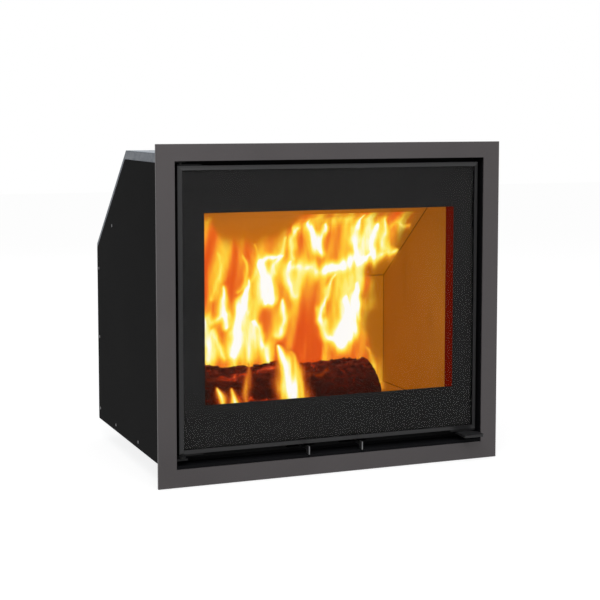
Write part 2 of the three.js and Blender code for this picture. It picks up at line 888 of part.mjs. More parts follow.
function airControls() {
  const plateBack = airBoxRear - airSheet - fit;
  const plateFront = plateBack - registerSheet;
  const rodBack = plateFront - fit;
  const plateZ = airHoleMiddle;
  const profile = shapeOf([
    [-leverReach, leverTabBottom], [-leverReach + leverTabDepth, leverTabBottom],
    [-leverReach + leverTabDepth, leverRodBottom], [rodBack, leverRodBottom], [rodBack, plateZ],
    [rodBack - leverRodHeight, plateZ], [rodBack - leverRodHeight, leverRodTop],
    [-leverReach + leverTabDepth, leverRodTop], [-leverReach + leverTabDepth, leverTabTop],
    [-leverReach, leverTabTop],
  ]);
  [['primary', -leverOffset], ['secondary', leverOffset]].forEach(([name, x]) => {
    add(`${name}_air_lever`,
      alongX(profile, x - leverThickness / 2, x + leverThickness / 2), materials.bright);
    const plate = block([x - registerWidth / 2, x + registerWidth / 2], [plateFront, plateBack],
      [plateZ - registerHeight / 2, plateZ + registerHeight / 2]);
    add(`${name}_air_register`, cut(plate, ...holeCutters(x, plateFront, plateBack)), materials.steel);
  });
}

// ---------------------------------------------------------------- door

// The steel behind the glass: a seat round the window, then a channel for the rope seal.
function doorFrame() {
  const seat = inset(windowRect, -windowMargin);
  const innerWall = inset(doorOuter, channelInset);
  const innerFace = inset(innerWall, doorInnerWall);
  const groove = inset(doorOuter, rimWall);
  add('door_frame', mitredRing([
    [seat, seatFront],
    [innerWall, seatFront],
    [innerWall, channelFront],
    [doorOuter, channelFront],
    [doorOuter, doorBack],
    [groove, doorBack],
    [groove, channelFloor],
    [innerWall, channelFloor],
    [innerWall, doorBack],
    [innerFace, doorBack],
    [innerFace, seatFront + doorSheet],
    [seat, seatFront + doorSheet],
  ]), materials.black);
}

// The rim folds round the glass edge, and its face falls away outwards.
function doorBezel() {
  const lip = inset(doorOuter, rimWidth);
  const wall = inset(doorOuter, rimWall);
  add('door_bezel', mitredRing([
    [doorOuter, doorRecess + rimSlope],
    [lip, doorRecess],
    [lip, doorRecess + rimLip],
    [wall, doorRecess + rimLip],
    [wall, rimBack],
    [doorOuter, rimBack],
  ]), materials.black);
}

function doorGlass() {
  const pane = inset(doorOuter, rimWall + fit);
  add('door_glass', block([pane.left, pane.right], [glassFront, glassFront + glassThickness],
    [pane.bottom, pane.top]), materials.glass);
}

function windowTape() {
  const inner = inset(windowRect, -windowMargin);
  const outer = inset(inner, -tapeWidth);
  add('window_tape', mitredRing([
    [outer, tapeFront], [inner, tapeFront],
    [inner, tapeFront + tapeThickness], [outer, tapeFront + tapeThickness],
  ]), materials.rope);
}

function doorGasket() {
  const edge = rimWall + (channelWidth - ropeWidth) / 2;
  const outer = inset(doorOuter, edge);
  const inner = inset(outer, ropeWidth);
  const y0 = channelFloor + fit;
  const y1 = frontPlateY - fit;
  const c = ropeChamfer;
  add('door_gasket', mitredRing([
    [inset(outer, c), y0], [inset(inner, -c), y0],
    [inner, y0 + c], [inner, y1 - c],
    [inset(inner, -c), y1], [inset(outer, c), y1],
    [outer, y1 - c], [outer, y0 + c],
  ]), materials.rope);
}

// ---------------------------------------------------------------- hinges

// A leaf lies on the door's upper or lower edge and carries the pin, right at the front corner, so
// that the door turns out through the trim frame without touching it.
function hingeLeaf(level, up) {
  const door = up > 0 ? doorOuter.top : doorOuter.bottom;
  const near = door + up * fit;
  const far = near + up * leafThickness;
  const tip = bracketFar(up) - up * 2 * fit;
  const leaf = shapeOf([
    [doorOuter.left, hingeY], [doorOuter.left + hingeFromEdge * 0.6, doorRecess + rimSlope],
    [doorOuter.left + leafLength, doorRecess + rimSlope],
    [doorOuter.left + leafLength, doorBack - 1], [doorOuter.left, doorBack - 1],
  ]);
  const plate = alongZ(leaf, Math.min(near, far), Math.max(near, far));
  const pin = post(hingeX, hingeY, pinRadius, Math.min(near, tip), Math.max(near, tip));
  add(`hinge_leaf_${level}`, join(plate, pin), materials.steel);
}

// The fixed brackets: a plate with the pin's hole and a leg down the surround's wall.
function bracketFar(up) {
  if (up > 0) return revealInner.top - fit;
  return doorOuter.bottom - fit - leafThickness - fit - washerThickness - fit - bracketThickness;
}

function hingeBracket(level, up) {
  const far = bracketFar(up);
  const near = far - up * bracketThickness;
  const wall = revealInner.left + fit;
  const depth = [casingFront, frontPlateY - sheet - 2 * fit];
  const plate = block([wall, wall + bracketWidth], depth, [Math.min(near, far), Math.max(near, far)]);
  const toe = near - up * bracketDrop;
  const behind = hingeY + hingeFromEdge + pinRadius;
  const leg = block([wall, wall + bracketThickness], [behind, depth[1]],
    [Math.min(toe, far), Math.max(toe, far)]);
  const hole = post(hingeX, hingeY, pinRadius + pinPlay, Math.min(near, far) - 1,
    Math.max(near, far) + 1);
  add(`hinge_bracket_${level}`, cut(join(plate, leg), hole), materials.steel);
}

function hingeWasher() {
  const z1 = doorOuter.bottom - fit - leafThickness - fit;
  const z0 = z1 - washerThickness;
  const bore = pinRadius + pinPlay;
  add('hinge_washer', turned([
    [bore, z0], [washerRadius, z0], [washerRadius, z1], [bore, z1], [bore, z0],
  ], hingeX, hingeY), materials.steel);
}

// ---------------------------------------------------------------- handle and latch

const handleBracketTop = doorOuter.bottom - fit;
const handleBracketUnder = handleBracketTop - handleBracketThickness;

function handleBracket() {
  const plate = block([doorOuter.right - handleBracketWidth, doorOuter.right - 1],
    [doorRecess + rimSlope, rollerY - rollerRadius - 2 * fit], [handleBracketUnder, handleBracketTop]);
  const hole = post(pivotX, handlePivotDepth, handlePinRadius + fit / 2, handleBracketUnder - 1,
    handleBracketTop + 1);
  add('handle_bracket', cut(plate, hole), materials.steel);
}

// A flat blade under the door's corner, with a hub on the pivot and an arm back to the roller.
function handleLever() {
  const front = -handleReach;
  const right = doorOuter.right;
  const left = right - bladeWidth;
  const back = front + bladeLength;
  const c = bladeCorner;
  const blade = new THREE.Shape();
  blade.moveTo(left + c, front);
  blade.lineTo(right - c, front);
  blade.absarc(right - c, front + c, c, -Math.PI / 2, 0);
  blade.lineTo(right, back - bladeLength / 3);
  blade.lineTo(pivotX + hubRadius, handlePivotDepth);
  blade.lineTo(pivotX - hubRadius, handlePivotDepth);
  blade.lineTo(left, back - bladeLength / 3);
  blade.lineTo(left, front + c);
  blade.absarc(left + c, front + c, c, Math.PI, Math.PI * 1.5);
  const arm = new THREE.Shape();
  const armRadius = rollerRadius + 1.5;
  arm.moveTo(rollerX - armRadius, handlePivotDepth);
  arm.lineTo(rollerX + armRadius, handlePivotDepth);
  arm.lineTo(rollerX + armRadius, rollerY);
  arm.absarc(rollerX, rollerY, armRadius, 0, Math.PI);
  const collarTopZ = handleBracketUnder - fit;
  const bore = post(pivotX, handlePivotDepth, handlePinRadius + pinPlay, bladeBottom - 1,
    collarTopZ + 1);
  const rollerBore = post(rollerX, rollerY, rollerPinRadius + pinPlay, bladeBottom - 1, bladeTop + 1, 12);
  add('handle_lever', cut(join(
    alongZ(blade, bladeBottom, bladeTop, 4),
    post(pivotX, handlePivotDepth, hubRadius, bladeBottom, bladeTop),
    post(pivotX, handlePivotDepth, hubCollarRadius, bladeBottom, collarTopZ),
    alongZ(arm, bladeBottom, bladeTop, 6)), bore, rollerBore), materials.black);
}

function handlePin() {
  const under = bladeBottom - fit;
  add('handle_pin', turned([
    [0, under - pinHeadHeight], [pinHeadRadius, under - pinHeadHeight], [pinHeadRadius, under],
    [handlePinRadius, under], [handlePinRadius, handleBracketTop], [0, handleBracketTop],
  ], pivotX, handlePivotDepth), materials.bright);
}

function latchRoller() {
  const z0 = bladeTop + fit;
  add('latch_roller', turned([
    [0, bladeBottom], [rollerPinRadius, bladeBottom], [rollerPinRadius, z0], [rollerRadius, z0],
    [rollerRadius, z0 + rollerHeight - 1], [rollerRadius - 1, z0 + rollerHeight],
    [0, z0 + rollerHeight],
  ], rollerX, rollerY, 12), materials.steel);
}

// A plate on the firebox front, with a cheek beside the roller's way out.
function strikePlate() {
  const edge = rollerX - rollerRadius - fit;
  const back = frontPlateY - fit;
  const z0 = bladeTop + fit;
  const z1 = z0 + rollerHeight;
  const base = block([edge - strikeWidth, edge - strikeSheet], [back - 2, back],
    [z0 - bladeThickness, z1]);
  const cheek = shapeOf([
    [edge - strikeSheet - 1, back], [edge - strikeSheet - 1, back - strikeDepth],
    [edge - strikeSheet / 2, back - strikeDepth - 1], [edge, back - strikeDepth + 2], [edge, back],
  ].reverse());
  add('strike_plate', join(base, alongZ(cheek, z0, z1)), materials.steel);
}

// ---------------------------------------------------------------- fire

// A log lying along X: a turned billet whose radius wanders round and along it.
function logGeometry(extra, phase) {
  const rings = 6;
  const r = logRadius + extra;
  const half = logLength / 2 + extra;
  const profile = [new THREE.Vector2(0, -half), new THREE.Vector2(r * 0.86, -half)];
  for (let i = 0; i <= rings; i++) {
    const t = i / rings;
    profile.push(new THREE.Vector2(r, -half * 0.93 + t * half * 1.86));
  }
  profile.push(new THREE.Vector2(r * 0.86, half), new THREE.Vector2(0, half));
  const billet = new THREE.LatheGeometry(profile, 20);
  const p = billet.attributes.position;
  for (let i = 0; i < p.count; i++) {
    const turn = Math.atan2(p.getZ(i), p.getX(i));
    const along = p.getY(i) / logLength;
    const swell = 1 - 0.05 * Math.abs(Math.sin(2 * turn + phase))
      - 0.04 * (1 + Math.sin(3 * turn + 2 * along + 2 * phase)) / 2;
    p.setX(i, p.getX(i) * swell);
    p.setZ(i, p.getZ(i) * swell);
  }
  return billet.rotateZ(-Math.PI / 2);
}

const logZ = floorBrickTop + logLift + logRadius;
const logPlaces = [
  { name: 'log_left', x: logLeftEnd - logLength / 2, turn: 0.08, phase: 0.6 },
  { name: 'log_right', x: logRightStart + logLength / 2, turn: -0.05, phase: 2.1 },
];

function placedLog({ x, turn, phase }, extra) {
  return logGeometry(extra, phase).rotateZ(turn).translate(x, logFromFront, logZ);
}

function fire() {
  for (const place of logPlaces) {
    add(place.name, placedLog(place, 0), materials.bark);
  }
  const z0 = floorBrickTop + fit;
  const rise = emberHeight;
  const half = emberLength / 2;
  const mound = new THREE.LatheGeometry([
    [0, 0], [half, 0], [half * 0.94, rise * 0.35], [half * 0.8, rise * 0.7],
    [half * 0.5, rise * 0.92], [0, rise],
  ].map(([r, z]) => new THREE.Vector2(r, z)), 26).rotateX(Math.PI / 2);
  mound.scale(1, emberDepth / emberLength, 1);
  mound.translate((logLeftEnd + logRightStart) / 2, logFromFront, z0);
  const seats = logPlaces.map((place) => placedLog(place, fit));
  add('ember_bed', cut(mound, ...seats), materials.ember);
}

// ---------------------------------------------------------------- assembly

trimFrame();
frontSurround();
trimClips();
casingWrap();
sideFrames();
sidePanels();
flueCollar();
baseRails();
levellingFeet();
fireboxFrontPlate();
fireboxSides();
fireboxBack();
fireboxTopPlate();
fireboxFloorPlate();
sideBricks();
backBricks();
smokeDeflector();
floorBricks();
airBox();
airWashDuct();
airControls();
doorFrame();
doorBezel();
doorGlass();
windowTape();
doorGasket();
hingeLeaf('upper', 1);
hingeLeaf('lower', -1);
hingeBracket('upper', 1);
hingeBracket('lower', -1);
hingeWasher();
handleBracket();
handleLever();
handlePin();
latchRoller();
strikePlate();
fire();

// The origin goes to the floor, midway between the handle's tip and the casing's rear face.
insert.position.set(0, -(casingRear - handleReach) / 2, floorGap);

export default insert;
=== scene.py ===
# Fireplace insert, dressed: glass, seals, screws, charred logs, embers, flames and every finish.
# Metres, +Z up, the door faces -Y, the floor is at z = 0.
import math

import bpy
import numpy as np
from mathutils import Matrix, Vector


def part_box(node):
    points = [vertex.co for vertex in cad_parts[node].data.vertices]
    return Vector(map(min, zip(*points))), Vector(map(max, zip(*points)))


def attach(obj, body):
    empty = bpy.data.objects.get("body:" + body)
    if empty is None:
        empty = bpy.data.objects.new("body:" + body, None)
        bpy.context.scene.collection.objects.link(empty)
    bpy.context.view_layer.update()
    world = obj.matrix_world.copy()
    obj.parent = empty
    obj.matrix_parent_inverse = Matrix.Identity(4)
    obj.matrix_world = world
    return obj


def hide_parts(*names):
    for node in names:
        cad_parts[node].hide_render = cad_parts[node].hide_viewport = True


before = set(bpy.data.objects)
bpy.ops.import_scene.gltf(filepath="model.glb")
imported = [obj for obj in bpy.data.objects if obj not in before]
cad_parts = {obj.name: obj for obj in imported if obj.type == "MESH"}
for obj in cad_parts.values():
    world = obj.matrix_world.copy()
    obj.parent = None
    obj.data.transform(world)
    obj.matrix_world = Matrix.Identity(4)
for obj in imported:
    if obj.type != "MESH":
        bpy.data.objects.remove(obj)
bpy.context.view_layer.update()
scene = bpy.context.scene
mm = 0.001


# Mesh helpers

def gridFaces(rows, cols, closeRows=False, closeCols=True):
    # quads of a rows x cols grid of points, wrapping where it closes on itself
    i, j = np.meshgrid(np.arange(rows if closeRows else rows - 1),
                       np.arange(cols if closeCols else cols - 1), indexing="ij")
    below, right = (i + 1) % rows, (j + 1) % cols
    quads = np.stack([i * cols + j, below * cols + j, below * cols + right, i * cols + right], -1)
    return quads.reshape(-1, 4)


def signedVolume(points, faces):
    # sum of the tetrahedra between the origin and each face's fan of triangles
    first, second, third = points[faces[:, 0]], points[faces[:, 1:-1]], points[faces[:, 2:]]
    return float(np.einsum("ik,ijk->", first, np.cross(second, third)))


def placed(name, data):
    holder = bpy.data.objects.new(name, data)
    scene.collection.objects.link(holder)
    return holder


def newPiece(name, points, faces, body, smooth=True):
    mesh = bpy.data.meshes.new(name)
    mesh.from_pydata(points, [], faces)
    mesh.update()
    if smooth:
        mesh.shade_smooth()
    piece = placed(name, mesh)
    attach(piece, body)
    return piece


def closedTube(name, grid, body, closeRows=False, smooth=True):
    # a rows x cols x 3 grid that wraps across, with flat ends or closed on itself along its length
    rows, cols = grid.shape[:2]
    points = grid.reshape(-1, 3)
    quads = gridFaces(rows, cols, closeRows)
    last = rows * cols
    ends = [] if closeRows else [np.arange(cols), np.arange(last - 1, last - cols - 1, -1)]
    volume = signedVolume(points, quads) + sum(signedVolume(points, end[None]) for end in ends)
    faces = quads.tolist() + [end.tolist() for end in ends]
    if volume < 0:
        faces = [face[::-1] for face in faces]
    return newPiece(name, points, faces, body, smooth)


def floatAttribute(piece, name, values):
    layer = piece.data.attributes.new(name, "FLOAT", "POINT")
    layer.data.foreach_set("value", np.asarray(values, np.float32).ravel())


def smoothstep(low, high, x):
    t = np.clip((x - low) / (high - low), 0, 1)
    return t * t * (3 - 2 * t)


def ripple(a, b, rng, waves=7, lowest=1.0, highest=6.0):
    # smooth noise between about -1 and 1: a sum of sine waves with random directions and phases
    total = np.zeros(np.broadcast(a, b).shape)
    for _ in range(waves):
        pitch = rng.uniform(lowest, highest)
        turn, phase = rng.uniform(0, 2 * np.pi, 2)
        total += np.sin(pitch * (a * np.cos(turn) + b * np.sin(turn)) + phase) / np.sqrt(waves / 2)
    return np.clip(total / 1.6, -1, 1)


def cracks(a, b, period, centres, stretch):
    # gap between the nearest and second nearest cell centre, small along the cell borders
    near = np.full(a.shape, 1e9)
    second = near.copy()
    for ca, cb in centres:
        da = np.abs(a - ca)
        if period:
            da = np.minimum(da, period - da)
        gap = np.hypot(da, (b - cb) / stretch)
        second = np.minimum(second, np.maximum(near, gap))
        near = np.minimum(near, gap)
    return second - near, near


def jitteredCentres(rng, across, along, width, length, jitter=0.38):
    i, j = np.meshgrid(np.arange(across), np.arange(along), indexing="ij")
    a = (i + 0.5 * (j % 2) + rng.uniform(-jitter, jitter, i.shape)) * width / across
    b = (j + 0.5 + rng.uniform(-jitter, jitter, i.shape)) * length / along - length / 2
    return np.stack([a.ravel() % width, b.ravel()], -1)


def rectOf(node, inset=0.0):
    # left, right, bottom and top of a node seen from the front, drawn in on all sides
    low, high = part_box(node)
    return np.array([low.x + inset, high.x - inset, low.z + inset, high.z - inset])


def drawnIn(rect, inset):
    return rect + np.array([inset, -inset, inset, -inset])


def rectLoops(rect, profile):
    # each profile point is (inset, y): a rectangle at that depth, so the corners are mitred
    loops = []
    for inset, y in profile:
        left, right, bottom, top = drawnIn(rect, inset)
        loops.append([(left, y, bottom), (right, y, bottom), (right, y, top), (left, y, top)])
    return np.array(loops)


def roundedRectPath(rect, radius, step):
    # points, outward normals and run length round a rectangle with round corners
    left, right, bottom, top = rect
    centres = [(right - radius, bottom + radius, -0.5), (right - radius, top - radius, 0.0),
               (left + radius, top - radius, 0.5), (left + radius, bottom + radius, 1.0)]
    points, normals = [], []
    for k, (cx, cz, start) in enumerate(centres):
        turn = np.pi * (start + np.linspace(0, 0.5, 13))
        out = np.stack([np.cos(turn), np.sin(turn)], -1)
        arc = np.array([cx, cz]) + radius * out
        nx, nz, _ = centres[(k + 1) % 4]
        target = np.array([nx, nz]) + radius * out[-1]
        count = max(2, int(np.linalg.norm(target - arc[-1]) / step))
        t = np.linspace(0, 1, count + 1)[1:-1, None]
        points += [arc, arc[-1] + (target - arc[-1]) * t]
        normals += [out, np.repeat(out[-1:], len(t), 0)]
    points, normals = np.concatenate(points), np.concatenate(normals)
    run = np.concatenate([[0], np.cumsum(np.linalg.norm(np.diff(points, axis=0), axis=1))])
    return points, normals, run


def sweptRound(name, rect, look, section, body):
    # section(angle, run) gives the offset outwards and to the rear, in metres
    points, normals, run = roundedRectPath(rect, look["corner"], look["step"])
    angle = np.linspace(0, 2 * np.pi, look["sides"], endpoint=False)
    out, back = section(angle[None], run[:, None])
    grid = np.stack([points[:, None, 0] + normals[:, None, 0] * out,
                     back + np.zeros_like(out),
                     points[:, None, 1] + normals[:, None, 1] * out], -1)
    return closedTube(name, grid, body, closeRows=True)


# Node helpers

def fill(tree, node, values):
    # links a value that is a socket and types in any other, where a colour gets an alpha of 1
    for key, value in values.items():
        socket = node.inputs[key]
        if isinstance(value, bpy.types.NodeSocket):
            tree.links.new(value, socket)
        elif value is not None:
            socket.default_value = (*value, 1) if socket.type == "RGBA" else value


def put(tree, kind, values=None, **settings):
    # adds a node with its settings and the values of its sockets
    node = tree.nodes.new(kind)
    for key, value in settings.items():
        setattr(node, key, value)
    fill(tree, node, values or {})
    return node


def calc(tree, operation, first, second=None, clamp=False):
    values = {0: first, 1: second}
    return put(tree, "ShaderNodeMath", values, operation=operation, use_clamp=clamp).outputs[0]


def vectorCalc(tree, operation, first, second, output=0):
    values = {0: first, 1: second}
    return put(tree, "ShaderNodeVectorMath", values, operation=operation).outputs[output]


def times(tree, first, second):
    return calc(tree, "MULTIPLY", first, second)


def blended(tree, first, second, share):
    # a share of the first value and the rest of the second
    return calc(tree, "ADD", times(tree, first, share), times(tree, second, 1 - share))


def apart(tree, first, second):
    return calc(tree, "ABSOLUTE", calc(tree, "SUBTRACT", first, second))


def remap(tree, value, low, high, toLow=0.0, toHigh=1.0, smooth=False):
    kind = "SMOOTHSTEP" if smooth else "LINEAR"
    values = {0: value, 1: low, 2: high, 3: toLow, 4: toHigh}
    return put(tree, "ShaderNodeMapRange", values, interpolation_type=kind).outputs[0]


def mixColour(tree, factor, first, second, blend="MIX"):
    values = {0: factor, 6: first, 7: second}
    return put(tree, "ShaderNodeMix", values, data_type="RGBA", blend_type=blend).outputs[2]


def noise(tree, at, scale, detail=2.0, roughness=0.5, distortion=0.0):
    values = {"Vector": at, "Scale": scale, "Detail": detail, "Roughness": roughness,
              "Distortion": distortion}
    return put(tree, "ShaderNodeTexNoise", values).outputs["Fac"]


def cellTones(tree, at, scale):
    # a random tone for each cell of a Voronoi pattern
    cells = put(tree, "ShaderNodeTexVoronoi", {"Vector": at, "Scale": scale})
    return put(tree, "ShaderNodeSeparateColor", {0: cells.outputs["Color"]}).outputs[0]


def stretched(tree, at, scale):
    return put(tree, "ShaderNodeMapping", {"Vector": at, "Scale": scale}).outputs[0]


def attribute(tree, name):
    return put(tree, "ShaderNodeAttribute", attribute_name=name).outputs["Fac"]


def ramp(tree, value, stops):
    node = put(tree, "ShaderNodeValToRGB", {0: value})
    elements = node.color_ramp.elements
    while len(elements) < len(stops):
        elements.new(0.5)
    for element, (position, colour) in zip(elements, stops):
        element.position = position
        element.color = (*colour, 1.0)
    return node.outputs[0]


def bumped(tree, height, strength, distance):
    values = {"Height": height, "Strength": strength, "Distance": distance}
    return put(tree, "ShaderNodeBump", values).outputs[0]


def effect(name, inputs, outputs):
    # an empty node group that takes a vector and named numbers, with its two end nodes
    group = bpy.data.node_groups.new(name, "ShaderNodeTree")
    group.interface.new_socket("Vector", in_out="INPUT", socket_type="NodeSocketVector")
    for label, value in inputs.items():
        socket = group.interface.new_socket(label, in_out="INPUT", socket_type="NodeSocketFloat")
        socket.default_value = value
    for label in outputs:
        group.interface.new_socket(label, in_out="OUTPUT", socket_type="NodeSocketFloat")
    return group, group.nodes.new("NodeGroupInput").outputs, group.nodes.new("NodeGroupOutput")


def useEffect(tree, group, **values):
    return put(tree, "ShaderNodeGroup", values, node_tree=group).outputs


def finish(name):
    material = bpy.data.materials.new(name)
    material.use_nodes = True
    tree = material.node_tree
    at = put(tree, "ShaderNodeTexCoord").outputs["Object"]
    return material, tree, tree.nodes["Principled BSDF"], at


def feed(tree, shader, **values):
    # the names of the shader's sockets are given with underscores
    fill(tree, shader, {key.replace("_", " "): value for key, value in values.items()})


# Shared effects

# the firebox lining: the plane of its front edges, the back board's face and the foot of its
# lean, how far it then rises and comes forward, the floor and the side boards
lining = {"front": -141.5 * mm, "back": 130 * mm, "foot": 311.5 * mm, "rise": 138 * mm,
          "run": 179 * mm, "floor": 89.5 * mm, "side": 257 * mm}
# where the fire's light is painted onto the lining as a glow: the fire's middle, the distances at
# which the painted glow is gone and full, the depth over which the front edges change, the width of
# the sooty joints, the back board's glowing skin, and how far up its lean the painted glow fades
# and to what share
fireGlow = {"middle": (-70 * mm, -30 * mm, 220 * mm), "far": 360 * mm, "near": 120 * mm,
            "edge": 0.4 * mm, "joint": 1.3 * mm, "skin": 4 * mm, "fade": 135 * mm, "faded": 0.15}


def grainEffect():
    # fine even grain with a few coarser grains, for sprayed coats
    group, given, end = effect("sprayedGrain", {"Scale": 1500.0}, ["Height", "Speck"])
    fine = noise(group, given["Vector"], given["Scale"], 2.0, 0.6)
    coarse = noise(group, given["Vector"], times(group, given["Scale"], 0.33), 1.0)
    fill(group, end, {"Height": blended(group, fine, coarse, 0.7),
                      "Speck": remap(group, fine, 0.62, 0.74)})
    return group


def patinaEffect():
    # slow uneven change over a surface: handling, dust and the spread of a coat
    group, given, end = effect("patina", {"Scale": 6.0, "Low": 0.0, "High": 1.0},
                               ["Value", "Cloud"])
    cloud = noise(group, given["Vector"], given["Scale"], 5.0, 0.55, 0.4)
    fill(group, end, {"Value": remap(group, cloud, 0.3, 0.7, given["Low"], given["High"]),
                      "Cloud": cloud})
    return group


def zincEffect():
    # spangle: crystals of the zinc layer, each with its own brightness and faint frost lines
    group, given, end = effect("zincSpangle", {"Scale": 90.0}, ["Crystal", "Frost"])
    at, warp = given["Vector"], 6 * mm
    wave = put(group, "ShaderNodeTexNoise", {"Vector": at, "Scale": 60.0, "Detail": 2.0})
    bent = vectorCalc(group, "MULTIPLY", wave.outputs["Color"], (warp, warp, warp))
    moved = vectorCalc(group, "ADD", at, bent)
    frost = noise(group, stretched(group, moved, (1.0, 1.0, 3.0)), 700.0, 3.0, 0.7)
    fill(group, end, {"Crystal": cellTones(group, moved, given["Scale"]), "Frost": frost})
    return group


def fireLightEffect():
    # how strongly the fire's light is painted onto a point of the lining as a glow, and where its
    # boards meet
    group, given, end = effect("fireLight", {}, ["Near", "Behind", "Joint", "Back"])
    x, y, z = put(group, "ShaderNodeSeparateXYZ", {0: given["Vector"]}).outputs
    gap = vectorCalc(group, "DISTANCE", given["Vector"], fireGlow["middle"], 1)
    # distance to the back: the upright face up to its foot, then the leaning one
    lean = math.atan2(lining["rise"], lining["run"])
    up = calc(group, "SUBTRACT", z, lining["foot"])
    rear = calc(group, "SUBTRACT", y, lining["back"])
    leaning = calc(group, "ADD", times(group, rear, math.sin(lean)),
                   times(group, up, math.cos(lean)))
    toBack = calc(group, "ABSOLUTE", calc(group, "MAXIMUM", rear, leaning))
    toSide = apart(group, lining["side"], calc(group, "ABSOLUTE", x))
    toFloor = apart(group, z, lining["floor"])
    corner = calc(group, "MAXIMUM", toSide, calc(group, "MINIMUM", toBack, toFloor))
    ledge = calc(group, "MAXIMUM", calc(group, "ABSOLUTE", up), toBack)
    line = calc(group, "MINIMUM", corner, ledge)
    # Back: the painted glow on the back board, fading up its lean; Near: the painted glow by
    # nearness to the fire
    onBack = remap(group, toBack, fireGlow["skin"], 0.0)
    lower = remap(group, z, lining["foot"], lining["foot"] + fireGlow["fade"], 1.0,
                  fireGlow["faded"])
    near = remap(group, gap, fireGlow["far"], fireGlow["near"], smooth=True)
    # Behind: 0 on the front edges of the lining and 1 behind them
    behind = remap(group, y, lining["front"] - fireGlow["edge"], lining["front"])
    joint = remap(group, line, fireGlow["joint"], fireGlow["joint"] / 2)
    back = times(group, onBack, lower)
    fill(group, end, {"Near": near, "Behind": behind, "Joint": joint, "Back": back})
    return group


sprayedGrain = grainEffect()
patina = patinaEffect()
zincSpangle = zincEffect()
fireLight = fireLightEffect()
print("effects: 4 shared groups")


# Finishes

coatLook = {"clouding": 0.1, "fleck": 0.12, "grain": 1300.0, "bump": 0.15, "metal": 0.0,
            "specular": 0.3, "sheen": 0.16}  # where a coat doesn't say otherwise


def coatFinish(name, look):
    # powder coat or stove paint: colour with slow clouding, sprayed grain, uneven sheen
    look = {**coatLook, **look}
    colour = np.array(look["colour"])
    material, tree, shader, at = finish(name)
    grain = useEffect(tree, sprayedGrain, Vector=at, Scale=look["grain"])
    cloud = useEffect(tree, patina, Vector=at, Scale=5.0)
    base = mixColour(tree, cloud["Value"], colour * (1 - look["clouding"]),
                     colour * (1 + look["clouding"]))
    fleck = times(tree, grain["Speck"], look["fleck"])
    base = mixColour(tree, fleck, base, np.minimum(1, colour * 2.2 + 0.01))
    rough = calc(tree, "ADD", times(tree, cloud["Cloud"], look["sheen"]),
                 look["roughness"] - look["sheen"] / 2)
    feed(tree, shader, Base_Color=base, Roughness=rough, Metallic=look["metal"],
         Specular_IOR_Level=look["specular"],
         Normal=bumped(tree, grain["Height"], look["bump"], 0.4 * mm))
    return material


def zincFinish(name, look):
    material, tree, shader, at = finish(name)
    flakes = useEffect(tree, zincSpangle, Vector=at, Scale=look["scale"])
    cloud = useEffect(tree, patina, Vector=at, Scale=4.0)
    tone = blended(tree, flakes["Crystal"], cloud["Value"], 0.55)
    rough = remap(tree, flakes["Crystal"], 0.0, 1.0, look["roughness"] - 0.06,
                  look["roughness"] + 0.1)
    feed(tree, shader, Base_Color=mixColour(tree, tone, look["dark"], look["light"]),
         Roughness=rough, Metallic=look["metal"],
         Normal=bumped(tree, flakes["Frost"], 0.18, 0.2 * mm))
    return material


def plateFinish(name, look):
    # hot-rolled plate: mill scale in clouds, with brown heat tint
    material, tree, shader, at = finish(name)
    cloud = useEffect(tree, patina, Vector=at, Scale=9.0)
    scale = noise(tree, at, 160.0, 4.0, 0.65)
    base = mixColour(tree, cloud["Value"], look["dark"], look["light"])
    tint = remap(tree, noise(tree, at, 22.0, 3.0), 0.5, 0.72, 0.0, 0.45)
    base = mixColour(tree, tint, base, look["tint"])
    rough = remap(tree, scale, 0.3, 0.7, look["roughness"] - 0.1, look["roughness"] + 0.15)
    feed(tree, shader, Base_Color=base, Roughness=rough, Metallic=look["metal"],
         Normal=bumped(tree, scale, 0.25, 0.4 * mm))
    return material


def brightFinish(name, look):
    # drawn or turned metal: fine lines along one axis and a few rubbed patches
    material, tree, shader, at = finish(name)
    fine = noise(tree, stretched(tree, at, look["lines"]), 60.0, 3.0, 0.7)
    cloud = useEffect(tree, patina, Vector=at, Scale=40.0)
    base = mixColour(tree, cloud["Value"], look["dark"], look["light"])
    rough = remap(tree, fine, 0.25, 0.75, look["roughness"] - 0.08, look["roughness"] + 0.12)
    feed(tree, shader, Base_Color=base, Roughness=rough, Metallic=1.0,
         Normal=bumped(tree, fine, 0.2, 0.2 * mm))
    return material


